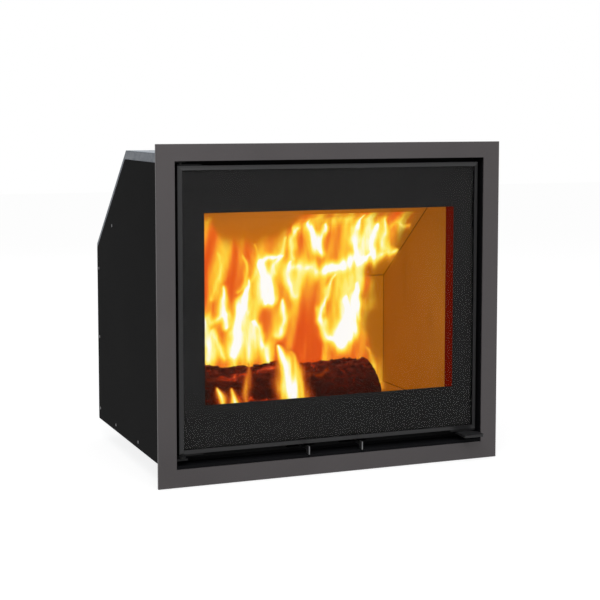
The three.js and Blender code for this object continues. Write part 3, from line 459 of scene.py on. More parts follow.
def brickFinish(look):
    # pressed board of tan mineral flakes with sooty joints; the fire's light on it is painted in as
    # a glow in its emission, and its front edges get a darker base
    material, tree, shader, at = finish("insulatingBrick")
    flakes = cellTones(tree, at, 420.0)
    mottle = blended(tree, flakes, noise(tree, at, 7.0, 5.0, 0.6, 0.6), 0.35)
    light = useEffect(tree, fireLight, Vector=at)
    streak = noise(tree, stretched(tree, at, (9.0, 9.0, 1.6)), 2.2, 4.0, 0.6)
    soot = calc(tree, "MAXIMUM", remap(tree, streak, 0.55, 0.8, 0.0, look["soot"]),
                times(tree, light["Joint"], look["joint"]))
    base = mixColour(tree, mottle, look["dark"], look["light"])
    base = mixColour(tree, soot, base, look["sootBase"])
    base = mixColour(tree, light["Behind"], look["frontBase"], base)
    # the emission is painted fire light: strongest near the fire and at the foot of the back board,
    # varied with the flakes, dimmed by soot, and a dim painted glow on the front edges
    glow = mixColour(tree, light["Back"], look["far"], look["back"])
    glow = mixColour(tree, light["Near"], glow, look["near"])
    glow = mixColour(tree, 1.0, glow, mixColour(tree, mottle, look["shade"], look["shine"]),
                     "MULTIPLY")
    glow = mixColour(tree, soot, glow, look["sootGlow"])
    glow = mixColour(tree, light["Behind"], look["frontPaintedGlow"], glow)
    height = calc(tree, "ADD", times(tree, flakes, 0.4), noise(tree, at, 900.0, 3.0, 0.6))
    feed(tree, shader, Base_Color=base, Roughness=0.93, Specular_IOR_Level=0.05,
         Emission_Color=glow, Emission_Strength=1.0, Normal=bumped(tree, height, 0.35, 0.6 * mm))
    return material


def clearGlassFinish(look):
    material, tree, shader, at = finish("clearGlass")
    haze = useEffect(tree, patina, Vector=at, Scale=9.0, High=look["haze"])
    feed(tree, shader, Base_Color=look["colour"], Roughness=haze["Value"], IOR=look["bend"],
         Metallic=0.0, Transmission_Weight=1.0)
    return material


def enamelFinish(look):
    material, tree, shader, at = finish("printedEnamel")
    grain = useEffect(tree, sprayedGrain, Vector=at, Scale=2500.0)
    base = mixColour(tree, grain["Speck"], look["colour"], look["speck"])
    feed(tree, shader, Base_Color=base, Roughness=0.6, Specular_IOR_Level=0.1)
    return material


def ropeFinish(name, look):
    # graphite-grey glass yarn: slanting threads under a fine fuzz, soft and matt
    material, tree, shader, at = finish(name)
    values = {"Vector": at, "Scale": look["pitch"], "Distortion": 1.5, "Detail": 1.0}
    threads = put(tree, "ShaderNodeTexWave", values, bands_direction="DIAGONAL").outputs["Fac"]
    tone = blended(tree, threads, noise(tree, at, 2600.0, 3.0, 0.7), 0.4)
    base = mixColour(tree, tone, look["dark"], look["light"])
    feed(tree, shader, Base_Color=base, Roughness=0.95, Specular_IOR_Level=0.2, Sheen_Weight=0.3,
         Normal=bumped(tree, tone, 0.5, 0.6 * mm))
    return material


def charFinish(look):
    # burnt bark: black plates with ash-red faces, and cracks that glow where air reaches them. The
    # pale faces, more of them towards the log's top, also get a faint red emission: ash with a
    # painted highlight of the fire's light
    material, tree, shader, at = finish("charredWood")
    fibre = noise(tree, stretched(tree, at, (1.0, 6.0, 6.0)), 180.0, 4.0, 0.65)
    base = mixColour(tree, fibre, look["dark"], look["brown"])
    scales = noise(tree, stretched(tree, at, (0.7, 1.5, 1.6)), 78.0, 4.0, 0.62, 0.5)
    # pale: the ash faces, weighted towards the log's top by the attribute, which paints a highlight
    # there
    pale = times(tree, attribute(tree, "ashAndPaintedHighlight"), remap(tree, scales, 0.50, 0.60))
    base = mixColour(tree, pale, base, look["ashAndPaintedHighlight"])
    flicker = remap(tree, noise(tree, at, 55.0, 3.0, 0.6), 0.35, 0.7)
    hot = times(tree, attribute(tree, "fireHeat"),
                calc(tree, "ADD", times(tree, flicker, 0.75), 0.25))
    # the scale colour is added to the emission of the pale faces: a painted highlight
    glow = mixColour(tree, pale, ramp(tree, hot, look["ramp"]), look["scale"], "ADD")
    feed(tree, shader, Base_Color=base, Roughness=0.9, Specular_IOR_Level=0.08,
         Emission_Color=glow, Emission_Strength=1.0, Normal=bumped(tree, fibre, 0.5, 1.2 * mm))
    return material


def flameFinish(look):
    # white in the hottest parts, then yellow, orange and red, torn by rising streaks
    material, tree, shader, at = finish("flame")
    licks = noise(tree, stretched(tree, at, (1.0, 1.0, 0.16)), 140.0, 3.0, 0.6, 0.4)
    sway = noise(tree, stretched(tree, at, (1.0, 1.0, 0.5)), 38.0, 3.0, 0.55, 0.6)
    licks, sway = (times(tree, calc(tree, "SUBTRACT", wave, 0.5), look[size])
                   for wave, size in ((licks, "streak"), (sway, "sway")))
    torn = calc(tree, "ADD", licks, sway)
    hot = calc(tree, "ADD", attribute(tree, "fireHeat"), torn, clamp=True)
    cover = attribute(tree, "fireCover")
    live = times(tree, torn, remap(tree, cover, 0.0, 0.3))
    alpha = remap(tree, calc(tree, "ADD", cover, live), 0.0, look["dense"], 0.0, look["cover"],
                  smooth=True)
    feed(tree, shader, Base_Color=(0, 0, 0), Roughness=1.0, Specular_IOR_Level=0.0,
         Emission_Color=ramp(tree, hot, look["ramp"]), Emission_Strength=1.0, Alpha=alpha)
    return material


finishes = {
    "trim": coatFinish("powderCoat", {
        "colour": (0.088, 0.080, 0.082), "clouding": 0.08, "fleck": 0.25, "grain": 1600.0,
        "bump": 0.22, "roughness": 0.5, "metal": 0.35, "specular": 0.35}),
    "panel": coatFinish("blackPanel", {
        "colour": (0.0125, 0.0125, 0.0127), "roughness": 0.7, "specular": 0.012}),
    # darker than the other black coats: its own black, with painted shade for the recess round the
    # door and the gap beside it
    "surround": coatFinish("blackSurround", {
        "colour": (0.0065, 0.0065, 0.0075), "clouding": 0.12, "fleck": 0.1, "roughness": 0.6,
        "specular": 0.05}),
    "stove": coatFinish("stovePaint", {
        "colour": (0.009, 0.009, 0.0095), "clouding": 0.2, "fleck": 0.18, "grain": 900.0,
        "bump": 0.35, "roughness": 0.72, "specular": 0.18}),
    "rim": coatFinish("rimCoat", {
        "colour": (0.034, 0.034, 0.035), "clouding": 0.06, "grain": 1800.0, "bump": 0.12,
        "roughness": 0.38, "metal": 0.25}),
    "handle": coatFinish("handleCoat", {
        "colour": (0.016, 0.016, 0.017), "fleck": 0.1, "grain": 1800.0, "bump": 0.12,
        "roughness": 0.42, "metal": 0.1}),
    "zinc": zincFinish("galvanisedSheet", {
        "dark": (0.12, 0.142, 0.166), "light": (0.24, 0.275, 0.315), "scale": 85.0,
        "roughness": 0.5, "metal": 0.55}),
    # a darker copy of the galvanised sheet for the side frames: painted shade
    "zincPaintedShade": zincFinish("galvanisedPaintedShade", {
        "dark": (0.062, 0.075, 0.094), "light": (0.102, 0.121, 0.148), "scale": 120.0,
        "roughness": 0.42, "metal": 0.5}),
    "plate": plateFinish("boilerPlate", {
        "dark": (0.05, 0.05, 0.055), "light": (0.13, 0.13, 0.135), "tint": (0.16, 0.08, 0.04),
        "roughness": 0.5, "metal": 0.6}),
    "bright": brightFinish("brightSteel", {
        "dark": (0.30, 0.30, 0.31), "light": (0.52, 0.52, 0.53), "lines": (1.0, 18.0, 18.0),
        "roughness": 0.32}),
    "lever": brightFinish("leverSteel", {
        "dark": (0.12, 0.12, 0.125), "light": (0.22, 0.22, 0.225), "lines": (18.0, 18.0, 1.0),
        "roughness": 0.4}),
    "screw": brightFinish("screwSteel", {
        "dark": (0.10, 0.10, 0.105), "light": (0.19, 0.19, 0.195), "lines": (1.0, 18.0, 18.0),
        "roughness": 0.4}),
    "brick": brickFinish({
        "dark": (0.13, 0.066, 0.014), "light": (0.21, 0.118, 0.028), "soot": 0.2, "joint": 0.85,
        "sootBase": (0.012, 0.006, 0.003), "sootGlow": (0.012, 0.002, 0.0),
        # far, near and back: the painted fire glow away from the fire, close to it and on the back
        # board; shade and shine vary that painted glow with the flakes
        "far": (0.215, 0.058, 0.0), "near": (0.44, 0.11, 0.0), "back": (0.31, 0.095, 0.0),
        "shade": (0.8, 0.78, 0.74), "shine": (1.15, 1.15, 1.15),
        # the front edges: a darker base colour, and an emission that is a dim painted glow
        "frontBase": (0.03, 0.003, 0.001), "frontPaintedGlow": (0.084, 0.002, 0.0)}),
    "glass": clearGlassFinish({"colour": (0.995, 0.99, 0.985), "bend": 1.10, "haze": 0.02}),
    "enamel": enamelFinish({"colour": (0.0082, 0.0083, 0.0086), "speck": (0.0125, 0.0125, 0.0125)}),
    "rope": ropeFinish("ropeYarn", {
        "pitch": 900.0, "dark": (0.025, 0.025, 0.024), "light": (0.11, 0.11, 0.105)}),
    "char": charFinish({
        # the pale faces' base colour is ash with a painted highlight, and scale is the red emission
        # added on them, also a painted highlight
        "dark": (0.003, 0.001, 0.001), "brown": (0.026, 0.006, 0.002), "ashAndPaintedHighlight": (0.07, 0.016, 0.009),
        "scale": (0.115, 0.009, 0.003),
        "ramp": [(0.0, (0.005, 0.0006, 0.0002)), (0.25, (0.07, 0.005, 0.001)),
                 (0.5, (0.40, 0.026, 0.004)), (0.78, (0.72, 0.10, 0.014)),
                 (1.0, (1.0, 0.36, 0.06))]}),
    "flame": flameFinish({
        "streak": 0.24, "sway": 0.14, "dense": 0.95, "cover": 0.97,
        "ramp": [(0.0, (0.62, 0.05, 0.003)), (0.2, (0.78, 0.09, 0.007)),
                 (0.34, (0.88, 0.185, 0.016)), (0.48, (0.97, 0.38, 0.022)),
                 (0.58, (1.0, 0.58, 0.035)), (0.69, (1.0, 0.78, 0.085)),
                 (0.82, (1.0, 0.93, 0.30)), (0.96, (1.0, 1.0, 0.98))]}),
}

# how the names begin of the CAD nodes that wear each finish
nodeFinish = {
    "trim": ["trim_frame"],
    "panel": ["side_panel"],
    "surround": ["front_surround", "flue_collar"],
    "zinc": ["casing_wrap", "trim_clip"],
    # the side frames wear the darker galvanised copy, which is painted shade
    "zincPaintedShade": ["side_frame"],
    "stove": ["firebox_front", "air_box", "air_wash_duct", "door_frame", "hinge_leaf",
              "hinge_bracket", "hinge_washer", "handle_bracket", "latch_roller", "strike_plate"],
    "rim": ["door_bezel"],
    "handle": ["handle_lever"],
    "plate": ["firebox_side", "firebox_back", "firebox_top", "firebox_floor", "smoke_deflector",
              "base_rail"],
    "bright": ["levelling_foot", "primary_air_register", "secondary_air_register", "handle_pin"],
    "lever": ["primary_air_lever", "secondary_air_lever"],
    "brick": ["side_brick", "back_brick", "baffle_brick", "floor_brick"],
}
for finishName, starts in nodeFinish.items():
    for nodeName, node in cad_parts.items():
        if nodeName.startswith(tuple(starts)):
            for materialSlot in node.material_slots:
                materialSlot.material = finishes[finishName]


def dress(piece, finishName):
    piece.data.materials.append(finishes[finishName])


print("finishes:", len(finishes))


# Door glass: a clear pane, with the border printed on its rear face

glass = {"edge": 0.5 * mm, "window": np.array([-0.240, 0.240, 0.1395, 0.4725]),
         "printInset": 1 * mm, "printGap": 0.06 * mm, "print": 0.12 * mm}


def doorGlass():
    # the pane is a stack of mitred rectangles, and the border a thin ring made of four of them
    low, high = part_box("door_glass")
    edge = glass["edge"]
    pane = rectLoops(rectOf("door_glass"), [(edge, low.y), (0, low.y + edge), (0, high.y - edge),
                                            (edge, high.y)])
    piece = closedTube("glass_pane", pane, "door", smooth=False)
    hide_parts("door_glass")
    dress(piece, "glass")
    front = high.y + glass["printGap"]
    rear = front + glass["print"]
    outer = rectOf("door_glass", glass["printInset"])
    loops = np.concatenate([rectLoops(outer, [(0, front)]),
                            rectLoops(glass["window"], [(0, front), (0, rear)]),
                            rectLoops(outer, [(0, rear)])])
    dress(closedTube("glass_border", loops, "door", closeRows=True, smooth=False),
          "enamel")


doorGlass()


# Rope seal in the door's channel and woven tape behind the glass

rope = {"width": 14 * mm, "corner": 13 * mm, "step": 1.9 * mm, "strands": 7, "lay": 11 * mm,
        "relief": 0.38 * mm, "squareness": 0.72, "sides": 44}
tape = {"width": 18 * mm, "corner": 6 * mm, "step": 3.0 * mm, "weave": 3.2 * mm, "threads": 5,
        "relief": 0.10 * mm, "squareness": 0.35, "sides": 26}


def superCircle(angle, squareness):
    # a circle drawn towards a square: each coordinate is the sine or cosine to a power under one
    across, along = np.cos(angle), np.sin(angle)
    return (np.sign(across) * np.abs(across) ** squareness,
            np.sign(along) * np.abs(along) ** squareness)


def ropeSeal():
    # a round section with strands that cross: the higher of two cosine waves that wind both ways
    low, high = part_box("door_gasket")
    halfWide, halfDeep = rope["width"] / 2, (high.y - low.y) / 2

    def section(angle, run):
        out, back = superCircle(angle, rope["squareness"])
        twist = 2 * np.pi * run / rope["lay"]
        strands = np.maximum(np.cos(rope["strands"] * angle + twist),
                             np.cos(rope["strands"] * angle - twist))
        shrink = rope["relief"] * (1 - strands)
        return out * (halfWide - shrink), (low.y + high.y) / 2 + back * (halfDeep - shrink)

    piece = sweptRound("rope_seal", rectOf("door_gasket", halfWide), rope, section, "door")
    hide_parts("door_gasket")
    dress(piece, "rope")


def windowTape():
    # a flat section whose thickness follows the product of a wave along and a wave across
    low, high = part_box("window_tape")
    halfWide, halfDeep = tape["width"] / 2, (high.y - low.y) / 2

    def section(angle, run):
        out, back = superCircle(angle, tape["squareness"])
        weave = (np.cos(2 * np.pi * run / tape["weave"])
                 * np.cos(2 * np.pi * out * tape["threads"]))
        shrink = tape["relief"] * (1 - weave)
        return out * halfWide, (low.y + high.y) / 2 + back * (halfDeep - shrink)

    piece = sweptRound("window_tape_woven", rectOf("window_tape", halfWide), tape, section, "door")
    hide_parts("window_tape")
    dress(piece, "rope")


ropeSeal()
windowTape()
print("door: glass, border, rope seal and tape")


# Screws of the side panels

screw = {"radius": 2.9 * mm, "rise": 1.3 * mm, "rings": 9, "sides": 20, "hub": 0.04, "turn": 2.4,
         "recess": 0.55, "recessEdge": 0.12, "slotWidth": 0.17, "slotDepth": 0.6}


def screwHeads(name, places, facing):
    # domed heads: the height over radius r is rise * (1/4 + 3/4 (1 - r^2)^0.6), less a cross slot
    sides, radius, rise = screw["sides"], screw["radius"], screw["rise"]
    across = np.concatenate([np.linspace(screw["hub"], 1, screw["rings"]), [1.0, screw["hub"]]])
    angle = np.linspace(0, 2 * np.pi, sides, endpoint=False)
    r, a = np.meshgrid(across, angle, indexing="ij")
    x, y = r * np.cos(a), r * np.sin(a)
    cross = np.minimum(np.abs(x), np.abs(y)) < screw["slotWidth"]
    deep = cross * smoothstep(screw["recess"] + screw["recessEdge"],
                              screw["recess"] - screw["recessEdge"], r)
    height = rise * (0.25 + 0.75 * (1 - r ** 2) ** 0.6) - deep * rise * screw["slotDepth"]
    height[-2:] = 0
    normal = np.array(facing, float)
    side = np.cross(normal, [0, 0, 1.0])
    up = np.cross(side, normal)
    count = len(across) * sides
    quads = gridFaces(len(across), sides)
    ends = np.array([np.arange(sides), np.arange(count - 1, count - sides - 1, -1)])
    points, faces = [], []
    for k, place in enumerate(places):
        u = side * np.cos(k * screw["turn"]) + up * np.sin(k * screw["turn"])
        v = np.cross(normal, u)
        head = (place + (radius * x)[..., None] * u + (radius * y)[..., None] * v
                + height[..., None] * normal)
        points.append(head.reshape(-1, 3))
        faces += (quads + k * count).tolist() + (ends + k * count).tolist()
    points = np.concatenate(points)
    first = points[:count] - places[0]
    if signedVolume(first, quads) + signedVolume(first, ends) < 0:
        faces = [face[::-1] for face in faces]
    dress(newPiece(name, points, faces, "insert", smooth=False), "screw")


panelScrews = {"edge": 12 * mm, "knee": 368.5 * mm}  # inset, and the height where the rear bends


def sidePanelScrews():
    # as (y, z): three up the rear edge, one on the slope and two along the lower edge
    low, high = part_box("side_panel_left")
    edge, knee = panelScrews["edge"], panelScrews["knee"]
    rear, foot = high.y - edge, low.z + edge
    rows = [(rear, foot + 10 * mm), (rear, (low.z + knee) / 2), (rear, knee - 30 * mm),
            (rear - 105 * mm, knee + 62 * mm), (low.y + 160 * mm, foot), (rear - 120 * mm, foot)]
    for side, sign in (("left", -1), ("right", 1)):
        screwHeads(f"panel_screws_{side}", [(-sign * low.x, y, z) for y, z in rows], (sign, 0, 0))


sidePanelScrews()
print("side panels: screws")


# Logs

bark = {"around": 250, "along": 230, "endRows": 26, "lip": 0.07, "plates": (13, 8),
        "scales": (30, 24), "crackDepth": 5.0 * mm, "crackWidth": 5.5 * mm,
        "scaleDepth": 1.6 * mm, "scaleWidth": 2.2 * mm, "warpAround": 4 * mm,
        "warpAlong": 7 * mm, "lumps": 2 * mm, "rings": 1.2 * mm, "endCracks": 3 * mm}


def charredLog(name, node, look):
    # a bar on a grid of length s and angle a, less a groove along the borders of two sizes of cell
    rng = np.random.default_rng(look["seed"])
    low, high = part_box(node)
    centre = (np.array(low) + np.array(high)) / 2
    half = (high.x - low.x) / 2 - 2 * mm
    radius = min(high.y - low.y, high.z - low.z) / 2 - 0.5 * mm
    cols, endRows, lip = bark["around"], bark["endRows"], bark["lip"]
    face = np.linspace(0.03, 0.93, endRows)
    bend = np.linspace(0, np.pi / 2, 7)[1:-1]
    edge, lipRun = 1 - lip + lip * np.sin(bend), lip * radius * np.cos(bend)
    reach = half - lip * radius
    size = np.concatenate([face, edge, np.ones(bark["along"]), edge[::-1], face[::-1]])
    along = np.concatenate([np.full(endRows, -half), -reach - lipRun,
                            np.linspace(-1, 1, bark["along"]) * reach,
                            (reach + lipRun)[::-1], np.full(endRows, half)])
    angle = np.linspace(0, 2 * np.pi, cols, endpoint=False)
    s, a = np.meshgrid(along, angle, indexing="ij")
    grow = np.repeat(size[:, None], cols, 1)
    girth = 2 * np.pi * radius
    plates = jitteredCentres(rng, *bark["plates"], girth, 2 * half)
    scales = jitteredCentres(rng, *bark["scales"], girth, 2 * half)
    warpA = a * radius + bark["warpAround"] * ripple(np.cos(a) * 3, s / half * 4, rng)
    warpS = s + bark["warpAlong"] * ripple(np.sin(a) * 4, s / half * 6, rng)
    plateGap, _ = cracks(warpA, warpS, girth, plates, 1.25)
    scaleGap, _ = cracks(warpA, warpS, girth, scales, 1.4)
    uneven = smoothstep(-0.6, 0.6, ripple(np.cos(a) * 3, s / half * 4, rng))
    deep = (1 - smoothstep(0, bark["crackWidth"], plateGap)) * (0.45 + 0.55 * uneven)
    shallow = 1 - smoothstep(0, bark["scaleWidth"], scaleGap)
    onBody = smoothstep(0.9, 1.0, grow)
    swell = (1 - 0.05 * np.abs(np.sin(2 * a + look["phase"]))
             - 0.03 * (1 + np.sin(3 * a + look["phase"])) / 2)
    lumps = bark["lumps"] * (ripple(np.cos(a) * 2.5, s / half * 3.5, rng) - 1)
    rings = 0.5 + 0.5 * np.cos(grow * 40 + 3 * ripple(np.cos(a), np.sin(a), rng))
    r = (radius * swell + lumps) * grow
    r -= (bark["crackDepth"] * deep + bark["scaleDepth"] * shallow) * onBody
    x = s - np.sign(s) * (1 - onBody) * (bark["rings"] * rings + bark["endCracks"] * deep)
    y, z = r * np.cos(a), r * np.sin(a)
    x = x - look["lean"] * smoothstep(0.2, 1.0, s / half) * (z / radius + 0.9)
    turn = look["turn"]
    grid = np.stack([centre[0] + x * np.cos(turn) - y * np.sin(turn),
                     centre[1] + x * np.sin(turn) + y * np.cos(turn), centre[2] + z], -1)
    piece = closedTube(name, grid, "insert")
    under = smoothstep(0.3, -1.0, z / radius)
    crown = smoothstep(-0.1, 0.95, z / radius)
    patch = ripple(np.cos(a) * 5 + look["phase"], s / half * 1.5, rng, 6, 1, 3)
    patch = smoothstep(0.1, 0.75, patch)
    # the shallow cracks glow more towards the crown: their own glow with a painted highlight of the
    # flames' light on top
    heat = (deep * (0.25 + 0.35 * patch) + shallow * (0.10 + 0.42 * crown) + 0.2 * under * patch
            + look["glow"] * patch * patch)
    floatAttribute(piece, "fireHeat", np.clip(heat, 0, 1))
    # the pale ash faces, weighted towards the crown: ash with a painted highlight on the log's top
    floatAttribute(piece, "ashAndPaintedHighlight", (0.25 + 0.75 * crown) * (1 - deep) * (1 - shallow))
    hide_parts(node)
    dress(piece, "char")


charredLog("charred_log_left", "log_left",
           {"seed": 11, "phase": 0.6, "turn": 0.08, "lean": 0.0, "glow": 0.34})
charredLog("charred_log_right", "log_right",
           {"seed": 23, "phase": 2.1, "turn": -0.05, "lean": 16 * mm, "glow": 0.06})


# Ember bed

embers = {"around": 300, "rings": 150, "stones": 260, "lump": 7.0 * mm, "gap": 7.0 * mm,
          "size": 16 * mm, "lift": 0.3 * mm, "hub": 0.02, "heat": 0.9}


def emberBed():
    # a low mound, the square root of 1 - r^2.4, with stones that rise inside their cells' borders
    rng = np.random.default_rng(5)
    low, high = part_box("ember_bed")
    cx, cy = (low.x + high.x) / 2, (low.y + high.y) / 2
    halfX, halfY, rise = (high.x - low.x) / 2, (high.y - low.y) / 2, high.z - low.z
    ring = np.linspace(0, 1, embers["rings"]) ** 0.8
    angle = np.linspace(0, 2 * np.pi, embers["around"], endpoint=False)
    r, a = np.meshgrid(0.004 + 0.996 * ring, angle, indexing="ij")
    x, y = r * halfX * np.cos(a), r * halfY * np.sin(a)
    centres = np.stack([rng.uniform(-halfX, halfX, embers["stones"]),
                        rng.uniform(-halfY, halfY, embers["stones"])], -1)
    gap, near = cracks(x, y, 0, centres, 1.0)
    stones = smoothstep(0, embers["gap"], gap) * (0.45 + 0.55 * smoothstep(embers["size"], 0, near))
    mound = (rise - embers["lump"]) * 0.62 * np.sqrt(np.clip(1 - r ** 2.4, 0, 1))
    height = mound + embers["lump"] * stones * smoothstep(1.0, 0.93, r)
    top = np.stack([cx + x, cy + y, low.z + height + embers["lift"]], -1)
    base = top[-1:].copy()
    base[..., 2] = low.z
    middle = np.array([cx, cy, low.z])
    grid = np.concatenate([top, base, middle + (base - middle) * embers["hub"]])
    piece = closedTube("glowing_embers", grid, "insert")
    heat = np.clip(embers["heat"] - 0.75 * stones + 0.3 * ripple(x * 40, y * 40, rng), 0, 1)
    heat *= smoothstep(1.02, 0.7, r)
    # here the attribute marks the ash-covered stones, with no weighting towards the top
    for label, values in (("fireHeat", heat), ("ashAndPaintedHighlight", stones)):
        floatAttribute(piece, label, np.concatenate([values, values[-1:], values[-1:]]))
    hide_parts("ember_bed")
    dress(piece, "char")


emberBed()
print("fire: logs and embers")


# Flames: sheets of light whose points hold how hot the fire is there. They are laid out in
# millimetres from the middle, the front and the foot of the trim frame.

frontPlane = -216 * mm
lift = 1.5 * mm  # the frame's lower edge above the floor

# each tongue: root, middle and tip as (x, z) seen from the front, width and heat
flames = [
    {"name": "flame_sheet_front", "seed": 8, "deep": 116, "bow": 3, "x": (-240, 40),
     "z": (92, 250), "haze": 0.0, "edge": 0.16,
     "tongues": [
         ((-36, 98), (-45, 158), (-62, 215), 42, 1.1),
         ((-10, 96), (-22, 150), (-38, 200), 34, 0.55),
         ((-170, 108), (-175, 125), (-180, 140), 15, 0.85),
         ((-143, 106), (-151, 126), (-156, 142), 16, 0.85),
         ((-129, 112), (-124, 152), (-128, 183), 19, 0.45),
         ((-215, 150), (-168, 160), (-118, 152), 24, 0.13),
         ((0, 158), (60, 166), (112, 164), 16, 0.22)]},
    {"name": "flame_sheet_middle", "seed": 3, "deep": 165, "bow": 7, "x": (-252, 252),
     "z": (110, 455), "haze": 1.0, "edge": 0.45,
     "tongues": [
         ((80, 204), (90, 244), (96, 292), 50, 1.2),
         ((82, 199), (46, 252), (70, 337), 24, 0.95),
         ((82, 209), (110, 255), (110, 313), 40, 1.1),
         ((93, 288), (103, 326), (120, 363), 54, 0.7),
         ((-23, 362), (31, 349), (85, 352), 46, 0.8),
         ((51, 344), (99, 359), (148, 375), 27, 1.0),
         ((120, 360), (162, 371), (197, 386), 38, 0.75),
         ((-19, 378), (-18, 406), (1, 430), 25, 0.85),
         ((38, 382), (27, 411), (17, 433), 28, 1.05),
         ((36, 385), (46, 410), (51, 435), 21, 0.95),
         ((120, 373), (115, 408), (125, 449), 28, 1.0),
         ((149, 375), (148, 400), (158, 432), 32, 1.1),
         ((176, 387), (170, 412), (174, 435), 26, 0.8),
         ((-64, 292), (-74, 336), (-82, 371), 36, 1.2),
         ((-84, 362), (-62, 373), (-40, 376), 20, 1.0),
         ((-56, 298), (-59, 336), (-39, 372), 42, 0.7),
         ((-13, 302), (-28, 334), (-23, 372), 32, 0.85),
         ((-45, 229), (-36, 257), (-35, 288), 30, 0.9),
         ((-132, 197), (-122, 255), (-107, 332), 42, 1.15),
         ((-149, 253), (-153, 287), (-151, 321), 28, 1.0),
         ((-106, 186), (-99, 226), (-105, 279), 66, 0.75),
         ((-70, 183), (-78, 218), (-92, 260), 30, 0.9),
         ((-187, 191), (-183, 221), (-190, 259), 36, 0.9),
         ((-151, 185), (-164, 214), (-177, 246), 26, 0.75),
         ((-193, 259), (-170, 265), (-148, 275), 24, 0.72),
         ((-126, 318), (-112, 345), (-116, 380), 16, 0.62),
         ((-100, 330), (-86, 375), (-92, 402), 15, 0.6),
         ((-176, 300), (-158, 350), (-164, 385), 18, 0.58),
         ((-48, 340), (-42, 385), (-30, 418), 22, 0.62),
         ((165, 107), (152, 153), (135, 196), 30, 0.5),
         ((4, 433), (99, 440), (232, 420), 56, 0.52)]},
    {"name": "flame_sheet_rear", "seed": 5, "deep": 215, "bow": 12, "x": (-252, 252),
     "z": (110, 430), "haze": 0.7, "edge": 0.45,
     "tongues": [
         ((-205, 150), (-190, 250), (-196, 345), 46, 0.6),
         ((-60, 150), (-40, 235), (-52, 330), 50, 0.62),
         ((30, 150), (44, 240), (34, 320), 44, 0.55),
         ((120, 150), (132, 240), (122, 300), 34, 0.55)]},
]
flamePatches = [
    ((50, 418), (24, 22), -0.16),
    ((-192, 285), (22, 42), -0.16),
    ((35, 235), (46, 46), -0.17),
    ((-78, 235), (16, 38), -0.17),
    ((-38, 318), (14, 30), -0.13),
    ((-2, 395), (9, 26), -0.10),
    ((20, 335), (60, 35), 0.16),
    ((110, 330), (36, 60), 0.22),
    ((135, 415), (80, 40), 0.24),
    ((-95, 300), (40, 60), 0.12),
    ((-150, 215), (60, 40), 0.20),
    ((160, 150), (40, 60), 0.10),
]
flameGrid = {"step": 2.0, "samples": 64, "slimmest": 1.6, "fall": 1.35, "clear": 11,
             "thinnest": 0.02}
flameWaver = {"x": 3.5, "fineX": 1.3, "z": 6.0, "heat": 0.10}
gas = {"right": 140, "rightTop": 335, "spread": 0.85, "top": 396, "leftRise": 46, "midRise": 56,
       "heat": 0.34, "cloud": 0.10, "streak": 0.20, "least": 0.16}


def slopeDepth(z):
    # how deep the leaning back board lies at a height
    above = np.clip(z - (lining["foot"] - lift) / mm, 0, None)
    return (lining["back"] - frontPlane) / mm - above * lining["run"] / lining["rise"]


def tongueHeat(x, z, tongue):
    # heat * exp(-(gap / half width)^fall) round a curve; the width swells above the root and
    # closes at the tip
    root, middle, tip = (np.array(place, float) for place in tongue[:3])
    wide, heat = tongue[3:]
    t = np.linspace(0, 1, flameGrid["samples"])[:, None]
    bend = 2 * middle - (root + tip) / 2  # a quadratic curve that passes through the middle
    spine = (1 - t) ** 2 * root + 2 * t * (1 - t) * bend + t ** 2 * tip
    swell = np.sin(np.pi * (0.16 + 0.81 * t[:, 0]) ** 0.85) ** 0.75
    gap = np.full(x.shape, 1e9)
    for (sx, sz), half in zip(spine, wide / 2 * swell + flameGrid["slimmest"]):
        gap = np.minimum(gap, np.hypot(x - sx, z - sz) / half)
    return heat * np.exp(-gap ** flameGrid["fall"])


def hazeHeat(x, z, rng):
    # the glowing gas between the tongues: wide, streaked, thinning out to the right and upwards
    right = (gas["right"] + np.clip(z - gas["rightTop"], 0, None) * gas["spread"]
             + 10 * ripple(z / 30, x / 90, rng))
    top = (gas["top"] + gas["leftRise"] * smoothstep(-148, -185, x)
           + gas["midRise"] * smoothstep(-50, 8, x) + 9 * ripple(x / 28, z / 90, rng))
    body = smoothstep(right + 24, right - 34, x) * smoothstep(top + 34, top - 30, z)
    streak = ripple((x - 0.2 * z) / 9, z / 110, rng, 12, 0.6, 2.6)
    cloud = ripple(x / 34, z / 60, rng, 8, 0.6, 2.0)
    hot = gas["heat"] + gas["cloud"] * cloud + gas["streak"] * streak
    for (px, pz), (wide, tall), heat in flamePatches:
        hot += heat * np.exp(-((x - px) / wide) ** 2 - ((z - pz) / tall) ** 2)
    return np.clip(hot, gas["least"], 1), body


